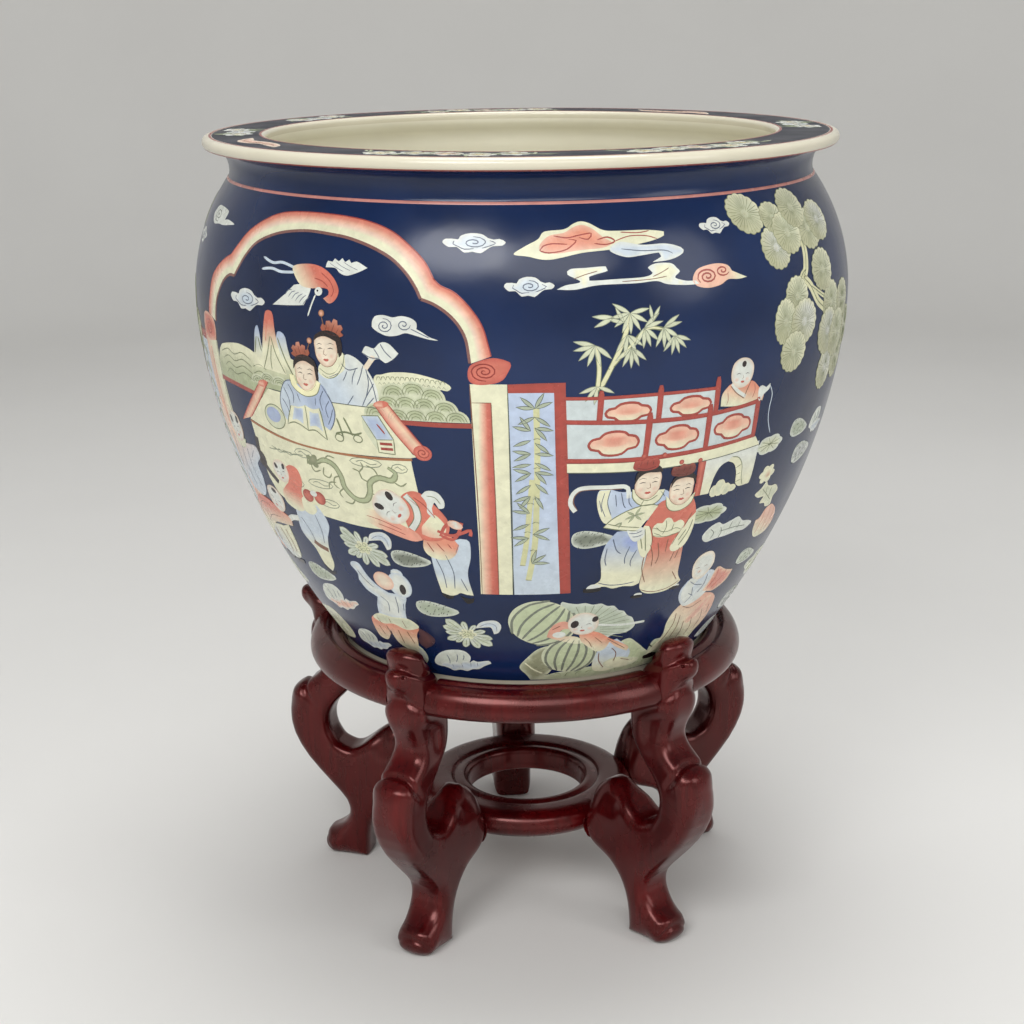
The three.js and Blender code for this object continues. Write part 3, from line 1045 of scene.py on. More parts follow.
def make_stage():
    """A pale floor that curves up into a backdrop on all sides."""
    flat, bend, top, turns = 2.6, 1.0, 3.4, 96
    section = [(0.0, 0.0), (0.5 * flat, 0.0)]
    angles = np.linspace(0, math.pi / 2, 14)
    section += [(flat + bend * math.sin(a), bend * (1 - math.cos(a))) for a in angles]
    section.append((flat + bend, top))
    section = [(radius / MM, height / MM) for radius, height in reversed(section)]
    paper = stage_material("paper", rgb(226, 225, 222))
    floor = lathe("studio_floor", section, [0] * len(section), [paper], turns)


def make_light(name, place, size, power):
    data = bpy.data.lights.new(name, "AREA")
    data.shape = "ELLIPSE"
    data.size, data.size_y = size
    data.energy = power
    lamp = linked(name, data)
    lamp.location = place
    lamp.rotation_euler = (Vector(LAMP_TARGET) - Vector(place)).to_track_quat("-Z", "Y").to_euler()


def make_lights():
    for lamp in LAMPS:
        make_light(*lamp)
    world = bpy.data.worlds.new("studio")
    world.use_nodes = True
    background = world.node_tree.nodes["Background"]
    background.inputs["Color"].default_value = SKY_COLOUR
    background.inputs["Strength"].default_value = SKY_STRENGTH
    bpy.context.scene.world = world


# ---- Motifs of the pictures ----

ROUND_CLOUD = (
    "-1,0.05 -0.9,0.4 -0.7,0.42 -0.5,0.35 -0.4,0.75 -0.1,1 0.25,0.9 0.45,0.5 0.62,0.35 0.8,0.42 1,0.1 "
    "0.88,-0.25 0.6,-0.3 0.42,-0.6 0.2,-1 -0.05,-0.85 -0.3,-0.95 -0.55,-0.4 -0.8,-0.42"
)
TAIL_CLOUD = (
    "-16,2 -14,6 -8,7.2 -1,6 5,7.2 12,6 16,3 16,-1! 20,-3 25,-6 31,-8 25,-7.6 18,-6 12,-4.5 8,-4 2,-6 "
    "-5,-6.5 -12,-4 -16,-1"
)


def spiral(e, x, y, across, up, turns, colour=INK, width=0.9, start=0.0, on=1):
    """A line that winds outwards from (x, y)."""
    count = int(11 * turns) + 2
    angles = math.radians(start) + np.linspace(0, 2 * math.pi * turns, count)
    reach = np.linspace(0.08, 1, count)
    points = np.stack([x + across * reach * np.cos(angles), y + up * reach * np.sin(angles)], -1)
    e.line(colour, width, (points, [False] * count), on)


def round_cloud(e, x, y, across, up, colour=CLOUD, heart=None, edge=FOLD):
    """A flat cloud with a coiled middle."""
    heart = colour if heart is None else heart
    with e.at(x, y, across, up=up):
        e.fill(heart, ROUND_CLOUD, rim=colour, depth=0.55 * up)
        e.lines(edge, 0.8, "-0.62,0.2 -0.66,-0.1 -0.5,-0.35 -0.3,-0.62 0,-0.55",
                "0.5,0.25 0.68,0 0.5,-0.28 0.25,-0.5")
        spiral(e, 0, 0.05, 0.42, 0.6, 1.7, edge, 0.9, 200)


def tail_cloud(e, x, y, size=1.0, turn=0, flip=False):
    """A cloud of two coils that trails off to one side."""
    with e.at(x, y, size, turn, flip):
        e.fill(CLOUD, TAIL_CLOUD)
        spiral(e, -7, 0, 6, 5, 2, FOLD, 0.9, 100)
        spiral(e, 7, 1.5, 5, 4, 1.5, FOLD, 0.9, 180)
        e.lines(FOLD, 0.8, "12,-1 18,-3.6 25,-6.6")


def scallop(e, x, y, across, up, on=0):
    """A round hillock with lines inside it that follow its edge."""
    with e.at(x, y, across, up=up):
        e.fill(SAGE, "-1,0! -0.92,0.42 -0.6,0.82 0,1 0.6,0.82 0.92,0.42 1,0!", on, rim=PALE_SAGE, depth=2.4)
        for share in (0.8, 0.58, 0.36):
            e.line(LEAF_LINE, 0.7, f"{-share},0.02 {-0.7 * share},{0.72 * share} 0,{share} "
                   f"{0.7 * share},{0.72 * share} {share},0.02", on + 0.6)


def face(e, x, y, size=1.0, turn=0, flip=False, on=4):
    """A plain face, turned a little to the left, about 18 mm wide at size 1."""
    with e.at(x, y, size, turn, flip):
        e.fill(SKIN, "-8.6,2 -8.4,7 -5.4,10.6 3,11 7.8,8.6 9,1 7.8,-4 3.4,-8.4 -2,-9.2 -6,-6.4 -8.2,-2.2", on,
               rim=FAWN, depth=1.5)
        e.line(SEPIA, 0.5, "-8.6,4 -8.2,-2.2 -6,-6.4 -2,-9.2 3.4,-8.4 7.8,-4 9,1", on + 0.3)
        for cheek in (-5.2, 4.6):
            e.fill(CHEEK, oval(cheek, -2.2, 2.6, 2.2), on + 0.3, rim=SKIN, depth=2.4)
        e.lines(HAIR, 0.6, "-6.6,4.6 -4.8,5.6 -2.4,5", "1.6,5.2 4.2,6 6.8,5", on=on + 0.8)
        e.lines(HAIR, 1.0, "-6.2,2.2 -4.3,2.7 -2.4,2.1", "1.8,2.4 3.9,2.9 6.1,2.3", on=on + 0.8)
        e.lines(SEPIA, 0.6, "-0.9,2.4 -1.9,-1.2 -0.4,-1.9 0.8,-1.3", on=on + 0.8)
        e.fill(LIP, "-2.8,-4.8 -1.4,-4 -0.4,-4.3 0.6,-4 1.9,-4.8 0.4,-5.8 -1.2,-5.8", on + 0.8)


TUFTS = ((-4.6, 5.2, 1.9, 2.9, 20), (5.6, 4.6, 1.9, 2.9, -24))


def boy_head(e, x, y, size=1.0, turn=0, flip=False, on=4, tufts=TUFTS):
    """A shaven round head with black tufts, about 20 mm wide at size 1."""
    with e.at(x, y, size, turn, flip):
        e.fill(IVORY, "-10,0 -9,6 -4,10 3,10.4 8.4,7 10,1 8.6,-5 4,-9.4 -3,-9.6 -8,-6", on,
               rim=SHELL, depth=2.6)
        for cheek in (-5, 4.6):
            e.fill(CHEEK, oval(cheek, -4.2, 2.6, 2), on + 0.3, rim=IVORY, depth=2.2)
        for x1, y1, across, up, tilt in tufts:
            e.fill(HAIR, oval(x1, y1, across, up, tilt), on + 0.6)
        e.lines(HAIR, 0.7, "-6.2,-0.6 -4.4,0.1 -2.6,-0.6", "1.8,-0.4 3.6,0.3 5.4,-0.5", on=on + 0.8)
        e.lines(SEPIA, 0.5, "-0.8,-1 -1.4,-3.2 -0.1,-3.6", on=on + 0.8)
        e.fill(LIP, oval(-0.7, -5.8, 1.6, 0.8), on + 0.8)


def crown(e, x, y, size=1.0, turn=0, flip=False, on=4):
    """A small coronet with knobs, and a ball on a pin beside it."""
    with e.at(x, y, size, turn, flip):
        e.fill(COPPER, "-7,-3 -9.4,-0.6 -8.4,2.4 -5.4,1.8 -5.6,5 -2.6,6 -0.8,4.4 0.4,8 3.4,7.6 4.4,4.4 "
               "7,5.4 9,3 7.4,0.6 10,-1 7,-3.4 0,-4.6", on, to=(CLAY, (0, 1), (0, 8)))
        e.lines(MAROON, 0.7, "-6,-2.4 0,-3.2 6,-2.6", "-5,-1.6 -4.4,2.6", "0,-2 1.6,4.6", "4,-1.6 5.4,2.4",
                on=on + 0.6)
        e.line(SEPIA, 0.8, "-5,-1 -8,3 -10,7", on)
        e.fill(BLUSH, oval(-10.6, 9.2, 2.4, 2.4), on, rim=TAN, depth=1.2)


def flat_cap(e, x, y, colour):
    """A low cap with a knob on each side."""
    with e.at(x, y):
        e.fill(colour, "-9,-3 -10,0.4 -8.6,4 -4,3.4 -1,5.4 3,4 7,5 9.6,1.6 8,-3 0,-4.6", 8,
               to=(CORAL, (0, 1), (0, 12)))
        e.lines(MAROON, 0.8, "-7,-2 0,-3.4 7,-2", "-5,0 -4,3", "0,-0.6 0.4,3.4", "4.6,-0.4 4.8,3", on=8.6)
        for knob_x, knob_y in ((12.6, 6), (-3, 7)):
            e.fill(CORAL, oval(knob_x, knob_y, 1.9, 1.9), 8, rim=BRICK, depth=1)


def leaves(e, x, y, length, *turns, colour=PALE_SAGE, vein=LEAF_LINE, on=1):
    """Narrow pointed leaves that spread from one place, each turned by its own angle."""
    shape = "0,0! 0.3,0.09 0.62,0.1 1,0! 0.62,-0.08 0.3,-0.08"
    for turn in turns:
        with e.at(x, y, length, turn):
            e.fill(colour, shape, on)
            e.line(vein, 0.55, shape, on + 0.4, closed=True)


def pod(e, x, y, length, turn=0, colour=GREY_GREEN):
    """A drop-shaped lotus leaf seen from the side, with a pale edge and a mottled face."""
    with e.at(x, y, length / 2, turn):
        outline = ("-1,0.02 -0.9,0.36 -0.5,0.5 0,0.44 0.5,0.28 0.96,0.06 0.98,-0.08 0.6,-0.3 0,-0.44 "
                   "-0.5,-0.46 -0.88,-0.3")
        e.fill(colour, outline, rim=FROST, depth=2.4)
        for n in range(26):
            x1 = -0.84 + 0.052 * n
            y1 = (0.34 - 0.16 * x1) * math.sin(2.4 * n)
            e.line(INK, 1.5, f"{x1},{y1} {x1 + 0.07},{y1 + 0.09}", 0.8)


def lotus(e, x, y, size=1.0, turn=0, flip=False, colour=MIST_GREEN):
    """A lotus flower about 36 mm wide at size 1, with a curled leaf over its right side."""
    petal = "0.1,0! 0.32,0.1 0.56,0.15 0.78,0.17 0.92,0.1 1,0! 0.92,-0.11 0.78,-0.16 0.56,-0.15 0.32,-0.1"
    with e.at(x, y, size, turn, flip):
        for angle, reach in ((178, 17), (160, 20), (138, 22), (104, 14), (60, 12), (18, 14), (-14, 19),
                             (-34, 22), (-62, 18), (-98, 16), (-130, 14), (208, 18)):
            with e.at(0, 0, reach, angle):
                e.fill(colour, petal, 0, rim=FROST, depth=1.6)
                e.line(GREY_GREEN, 0.6, petal, 0.5, closed=True)
                e.lines(LEAF_LINE, 0.6, "0.4,0 0.86,0.02", on=0.8)
        e.fill(POLLEN, oval(0, 0, 6, 5, 0, 6, 0.4), 1.4, rim=CREAM, depth=2)
        for x1, y1 in ((-3, 1.6), (1.4, 2.6), (3.6, -0.8), (-0.4, -1.8), (-4, -2)):
            e.line(LEAF_LINE, 0.6, oval(x1, y1, 1.5, 1.3), 2, closed=True)
        e.fill(PALE_BLUE, "6,7! 9,13 14,15.6 20,16.4 24,13.6 25,9 23,3 19.6,1.4! 18.6,6 17,9 12,8.4", 0.6,
               rim=CLOUD, depth=2)
        e.line(FOLD, 0.6, "9,9 14,12.4 19,12.6 21.6,9 21.6,4.6", 1.2)


def pad(e, x, y, across, up, turn=0, colour=SAGE):
    """A round lotus leaf seen slantwise, with veins from its middle."""
    with e.at(x, y, across, turn, up=up):
        e.fill(colour, oval(0, 0, 1, 1, 0, 6, 0.16), rim=FROST, depth=2.6)
        for n in range(9):
            angle = 2 * math.pi * n / 9 + 0.3
            e.line(LEAF_LINE, 0.7, f"0.05,0.05 {0.85 * math.cos(angle)},{0.8 * math.sin(angle)}")


def lump_leaf(e, x, y, size=1.0, turn=0, tip=PALE_BLUE):
    """A folded leaf: a round back part and a lobed front that runs to a point."""
    with e.at(x, y, size, turn):
        e.fill(FROST, "-21,-4 -19,4 -13,11 -4,14 3,13 7,7 6,0! 0,-6 -10,-8 -18,-8", 0, rim=IVORY, depth=2.4)
        e.fill(tip, "-16,-7 -12,-2.6 -8,-4 -5,0 -1,-2.4 2,1.6 6,0 9,3 12,1.4 20,3.6 22,0.6! 17,-3 13,-7 8,-8 "
               "4,-11 -1,-10 -6,-12 -10,-9.6", 1, rim=IVORY, depth=1.8)
        e.lines(FOLD, 0.8, "-11,7 -9,1 -9,-4", "-3,9 -3,3 -4,-1", "2,9 2,5 1,2", "-7,-4 -6,-8", "0,-2 1,-7",
                "7,1 7,-5", "12,1 12,-4")


def pine_fan(e, x, y, across, up, on=0, colour=PALE_SAGE):
    """A round tuft of needles seen from the front."""
    with e.at(x, y, across, up=up):
        e.fill(colour, oval(0, 0, 1, 1, 0, 16, 0.07), on, rim=CREAM, depth=5,
               to=(HAY, (0.5, 0.5), (-0.5, -0.5)))
        e.line(OLIVE, 0.6, oval(0, 0, 1, 1, 0, 16, 0.07), on + 0.3, closed=True)
        e.fill(DRAB, oval(0, 0, 0.2, 0.2), on + 0.4, rim=colour, depth=2.6)
        for n in range(30):
            angle = 2 * math.pi * (n + 0.4 * math.sin(7 * n + x)) / 30
            inner = 0.12 + 0.12 * (n % 2)
            e.line(LEAF_LINE, 0.5, f"{inner * math.cos(angle)},{inner * math.sin(angle)} "
                   f"{0.93 * math.cos(angle)},{0.93 * math.sin(angle)}", on + 0.5)


def cartouche(e, x, y, across, up, on=3):
    """A bracket-edged window in a fence panel."""
    with e.at(x, y, across / 2, up=up / 2):
        shape = ("-1,0 -0.86,0.4 -0.6,0.5 -0.4,0.86 0,1 0.4,0.88 0.56,0.62 0.84,0.5 1,0.05 0.9,-0.42 "
                 "0.6,-0.52 0.36,-0.9 0,-1 -0.4,-0.88 -0.6,-0.52 -0.88,-0.4")
        e.fill(BLUSH, shape, on, to=(CREAM, (0, 0.1), (0, -0.9)))
        e.fill(SALMON, oval(0, 0.22, 0.62, 0.5), on + 0.4, rim=BLUSH, depth=3)
        e.line(BRICK, 2.1, shape, on + 1, closed=True)


def robe_lines(e, *outlines, on=3):
    """The folds of a dress."""
    e.lines(FOLD, 0.9, *outlines, on=on)


# ---- The pictures on the bowl ----

def draw_moon_gate():
    """A lobed gateway arch on two posts."""
    across = [CORAL, SALMON, BLUSH, PALE_PEACH, CREAM, CREAM, CREAM]
    spans = {
        "left": ("-131,300 -128,312 -123,327 -115,335 -104,342 -93,347",
                 "-116,296 -115,304 -112,313 -106,322 -99,329 -91,333 -84,333"),
        "top": ("-93,347 -85,355 -75,365 -61,374 -45,381 -29,384 -5,385 19,384 39,381 57,375 73,365 "
                "85,355 93,344",
                "-84,333 -79,340 -71,350 -61,359 -45,366 -29,370 -9,372 11,371 27,369 45,364 61,357 73,348 "
                "81,339 86,331"),
        "right": ("93,344 98,340 109,335 121,324 129,312 134,294",
                  "86,331 95,328 105,322 113,314 118,304 120,289"),
    }
    for side, (outer, inner) in spans.items():
        with enamel(f"moon_gate_{side}", -35) as e:
            e.band(outer, inner, across)
            e.line(TAUPE, 2.6, inner, 0.4, taper=False)
            e.line(BRICK, 1.0, outer, 0.4, taper=False)
    with enamel("gate_post_right", 0) as e:
        e.fill(CREAM, "-35,275! -10,275! -8,104! -30,104!")
        e.band("-29.4,262 -31,180 -31,104", "-21,262 -19,180 -18,104", [CREAM, BLUSH, CORAL, LIP], 0.6)
        e.lines(SEPIA, 1.0, "-35,262! -21,262! -19,180 -18,104!", "-35,275 -31,180 -30,104", on=1)
        e.line(INK, 1.0, "-10,275 -8,180 -8,104", 1)
        e.fill(CORAL, "-36,279 -35,287 -28,291 -18,293 -8,290 -8,286! -13,278 -22,275 -32,275", 1,
               rim=LIP, depth=3)
        spiral(e, -25, 283.6, 9.6, 6.4, 2.6, OXBLOOD, 1.2, 60, 2)
    with enamel("panel_left", -35) as e:
        e.fill(PALE_BLUE, "-184,281! -146,281! -117,104! -148,104!", -0.8)
        e.band("-184,284 -165,284 -145,284", "-184,277 -165,277 -145,277", [BRICK, RUST, BRICK], -0.4)
        e.band("-190,284 -172,190 -154,104", "-183,284 -165,190 -148,104", [BRICK, RUST, BRICK], -0.4)
        e.line(BAMBOO, 3.8, "-164,272 -156,240 -148,190 -138,124", -0.2)
        for n in range(12):
            x, y = -163 + 2 * n, 270 - 12.4 * n
            leaves(e, x, y, 13, 205 + 6 * (n % 3), -30 - 8 * (n % 2), colour=LICHEN, vein=GREY_GREEN, on=0)
    with enamel("gate_post_left", -35) as e:
        e.fill(CREAM, "-147,281! -119,281! -95,104! -118,104!", to=(BLUSH, (-130, 280), (-146, 276)))
        e.line(PEACH, 3.4, "-135,274 -124,190 -108,106", 1, taper=False)
        e.line(INK, 1.0, "-120,280 -108,180 -96,104", 1)
        e.fill(CORAL, "-147,283 -146,296 -138,300 -121,296 -119,283 -126,280 -138,279", 1, rim=BLUSH, depth=3)
        spiral(e, -133, 289, 8, 6, 2.2, BRICK, 1.0, 60, 2)


def draw_crane():
    """A flying crane."""
    with enamel("crane", -35) as e:
        e.fill(IVORY, "-14,334! -22,327 -34,318.5! -20,319.5 -4,321! 0,328 1,334 -7,335", 1)
        for n in range(6):
            x, y = -5 - 3.4 * n, 322.4 + 1.1 * n
            e.line(FOLD, 0.7, f"{x},{y - 1.4} {x + 3},{y + 2.2} {x + 6.4},{y + 5 - 0.5 * n}", 2)
        e.fill(IVORY, "12,348! 13,352.4 17,352 18.4,354.4 22,352.6 24.4,355 27,352.4 30,354.4 32,352 "
               "36,353.4 45,349.5! 38,346 30,343.5 24,345 20,348", 1)
        e.lines(FOLD, 0.7, "15,351 20,348.6 27,346", "20,352 25,349.4 32,347", "26,352.4 31,350 38,347.6")
        e.fill(CORAL, "-17,346 -9,348.6 3,349 13,346 21,340 25,333 23,327 18,324 13,327! 17,330 16,333.4 "
               "9,334 3,333 -7,334 -14,340", 2, to=(CREAM, (0, 348), (-13, 336)))
        e.lines(BRICK, 0.8, "9,344 17,339 21,332.6 19,328.4", "4,340 11,338.4 16,335", on=3)
        e.fill(IVORY, oval(8.4, 331.4, 3.3, 3), 3)
        e.fill(HAIR, oval(7.6, 331.8, 0.8, 0.7), 4)
        e.line(IVORY, 1.2, "6,329 3,322 0,314", 1)
        e.lines(PALE_BLUE, 1.9, "-15,345.4 -28,348 -38,347 -49,350", "-14,342.6 -28,341.6 -38,343 -49,341.6")


def draw_gate_clouds():
    """The clouds in the arch and left of it."""
    with enamel("gate_clouds", -35) as e:
        round_cloud(e, -65, 318.5, 22, 7.6, CLOUD, PALE_BLUE)
        tail_cloud(e, 68, 312)
    with enamel("far_left_cloud", -60) as e:
        e.fill(IVORY, "-50,370 -44,377 -34,378 -20,377 -14,375 -16,369! -8,370 5,368 -4,366.4 -16,365 "
               "-26,365 -40,364")
        spiral(e, -34, 371, 9, 5, 1.8)
        round_cloud(e, -66, 352, 14, 6)


def draw_hills():
    """The hills and rocks seen through the gate."""
    with enamel("left_hill", -35) as e:
        e.fill(SAGE, "-118,255! -116,271 -110,279 -102,282 -81,285 -66,283.6 -56,281 -44,281 -30,281 -14,280 "
               "-10,250! -60,250", 0, to=(CREAM, (-84, 262), (-84, 280)))
        for n, y in enumerate((277, 272, 267, 262)):
            e.line(LEAF_LINE, 0.9, f"{-110 + 2 * n},{y - 2} -98,{y + 1.6} -88,{y - 1} -76,{y + 1.8} "
                   f"-64,{y - 2}", 1)
            e.line(LEAF_LINE, 0.9, f"-62,{y - 6} -54,{y - 3.4} -46,{y - 6.4}", 1)
        e.band("-118,255.6 -90,254.4 -62,251.6", "-118,252 -90,251 -62,248.4", [BRICK, BRICK], 0.6)
        for x, y in ((-58, 259), (-46, 262), (-33, 261)):
            scallop(e, x, y, 9, 7, 1)
    with enamel("spires", -35) as e:
        e.fill(SKY, "-60,272! -57,288 -55,299 -52,302 -50,297 -48,286 -42,272!", 1,
               to=(CREAM, (-53, 300), (-53, 280)))
        e.fill(SKY, "-34,282! -31,297 -29,300.5 -25,300 -22,297 -20,288 -14,270!", 1,
               to=(CREAM, (-27, 300), (-24, 280)))
        e.fill(CORAL, "-50,272! -46.4,293 -43,310 -41,313.6 -37,314 -34,311 -31.6,296 -24,270!", 2,
               to=(CREAM, (-39, 306), (-38, 287)))
        e.lines(LEAF_LINE, 1.1, "-38,296 -42,284 -48,272", "-37,296 -33,284 -25,271",
                "-37,290 -39,280 -39,272", "-30,296 -24,282 -17,270", "-54,294 -57,282", "-52,294 -49,284",
                on=3)
        e.line(CORAL, 0.9, "-40,311 -42,298 -43,292", 3)
    with enamel("right_hill", -35) as e:
        e.fill(PALE_SAGE, "50,250! 51,275 58,279 67,281 81,281 95,278 103,275 106,272 103,269.6 98,270 "
               "98,262! 108,248!", 0, to=(CREAM, (80, 266), (80, 279)))
        for n in range(14):
            x, y = 55 + 3.5 * n, 276.4 - 0.0026 * (3.5 * n - 19) ** 2
            e.line(LEAF_LINE, 0.7, f"{x - 1.8},{y - 1} {x - 1},{y + 1.4} {x + 0.6},{y + 1.6} "
                   f"{x + 1.6},{y - 0.6}", 1)
            e.line(LEAF_LINE, 0.6, f"{x - 0.6},{y - 3.6} {x + 0.4},{y - 2.4} {x + 1.8},{y - 3.8}", 1)
        for x, y, r in ((65, 264, 10), (79, 266, 10), (92, 263, 9.4), (60, 256, 9.6), (73, 256, 10.4),
                        (86, 256, 10), (100, 254, 9.6), (50, 249, 9.6), (66, 247.4, 9.4), (79, 247.4, 9.6),
                        (93, 247.4, 9.8), (107, 247.4, 9.2)):
            scallop(e, x, y, r, 0.95 * r, 1 + (270 - y) / 14)
        e.band("58,247.6 88,247 117,247", "58,244.4 88,243.6 117,243.6", [BRICK, BRICK], 3)


def draw_table():
    """The writing table with its scroll ends and the things that lie on it."""
    with enamel("table_front", -35) as e:
        e.fill(CREAM, "-80,227! -40,220.5 0,217 70,217.5! 70,160! 30,157 0,158 -60,165 -75,180!", 0,
               rim=CREAM, depth=2.5)
        body = "-10,206 -2,209 6,206 10,198 11,189 18,181 27,181 32,188 34,196 42,201 52,200 56,206 51,210"
        e.line(OLIVE, 6.4, body, 1)
        e.line(SAGE, 3.6, body, 2)
        e.fill(KHAKI, oval(-13, 206.6, 6, 4.4, 0, 5, 0.5), 2, rim=OLIVE, depth=1.4)
        e.lines(OLIVE, 1.5, "-10,206 -16,203 -14,198 -8,200", "-4,203 -6,197 -1,195 2,199",
                "-12,210 -18,208 -20,203", "10,198 4,196 2,190 6,187", "4,192 -2,191 -4,186",
                "11,189 5,184 7,180", "34,196 28,199 27,204 22,206", "42,201 40,207 34,210",
                "52,200 58,196 63,199", "32,188 38,186 42,190 46,188", "18,181 14,176 8,177",
                "-2,209 2,213 8,212", "27,204 31,208 30,212")
        for x in range(-62, -30, 4):
            e.line(GREY_GREEN, 1.0, f"{x},{211 - 0.1 * x % 3} {x + 5},{207 + x % 3} {x + 11},{209 - x % 2}",
                   1)
        for x, y, w in ((-22, 211, 9), (34, 212, 13), (-12, 188, 12), (-38, 184, 8), (56, 182, 9),
                        (-8, 172, 9), (-42, 170, 12), (36, 168, 9), (60, 210, 6)):
            e.line(GREY_GREEN, 0.9, oval(x, y, w, 3.4), 1, closed=True)
            e.line(GREY_GREEN, 0.9, f"{x - 0.6 * w},{y} {x - 0.2 * w},{y + 1.4} {x + 0.3 * w},{y - 1} "
                   f"{x + 0.7 * w},{y}", 1)
    with enamel("table_top", -35) as e:
        e.fill(CREAM, "-47,257! 53,254.5! 72,222! 70,219 0,217.5 -40,221 -80,228!", 2)
        e.line(TAN, 1.9, "-80,226.6 -40,219.8 0,217 40,216.4 71,217.8", 3, taper=False)
        e.line(INK, 0.9, "-47,257 0,255.4 53,254.6", 3)
        roll = [CORAL, BLUSH, SAND, CORAL]
        e.band("-59,258 -76,241 -93,225", "-46,262 -60,246 -77,230", roll, 4)
        e.band("50,256 60,240 73,222", "59,259 70,244 84,224", roll, 4)
        e.lines(BRICK, 0.9, "-59,258 -76,241 -93,225", "-46,262 -60,246 -77,230", "50,256 60,240 73,222",
                "59,259 70,244 84,224", on=4.6)
        for x, y in ((-52.5, 260), (54.5, 257.5)):
            e.fill(BLUSH, oval(x, y, 6, 2.6, 10), 4.6, rim=CORAL, depth=1.2)
        e.fill(WARM_CORAL, oval(79.6, 223.6, 6.6, 5.8), 4.2, rim=LIP, depth=2)
        spiral(e, 79.6, 223.6, 5, 4.4, 1.6, BRICK, 1.2, 180, 5)
        e.fill(PALE_SAGE, oval(-45, 236, 11, 9), 3)
        e.fill(SKY, oval(-46, 237.4, 8, 5.8), 3.6, rim=PERIWINKLE, depth=3)
        e.line(LEAF_LINE, 1.0, oval(-45, 236, 11.4, 9.2), 3.6, closed=True)
        e.lines(LEAF_LINE, 1.9, "17,244 19,236 20,229", "23,245 26,238 28,232", "14,232 22,234 30,233 36,235",
                on=3)
        for x, y in ((16.5, 229), (32, 230)):
            e.line(LEAF_LINE, 1.1, oval(x, y, 3.6, 2.8), 3, closed=True)
        e.fill(SKY, "38,248! 51,249! 60,232! 47,231!", 3.4, rim=PALE_BLUE, depth=2)
        e.fill(CREAM, "47,231! 60,232! 59,221! 47,221.6!", 3.4)
        e.fill(PALE_SAGE, "38,248! 47,231! 47,221.6! 38,238!", 3.2)
        e.lines(LEAF_LINE, 1.0, "38,248! 51,249! 60,232! 47,231! 38,248!", "47,231! 47,221.6! 59,221! "
                "60,232!", on=4)
        e.line(BRICK, 1.7, "49,243 52,239 54,236", 4.4)
        for y in (228.4, 224.6):
            e.fill(BRICK, f"49,{y - 1.1}! 58.4,{y - 0.9}! 58.2,{y + 1.1}! 49,{y + 0.9}!", 4.2)


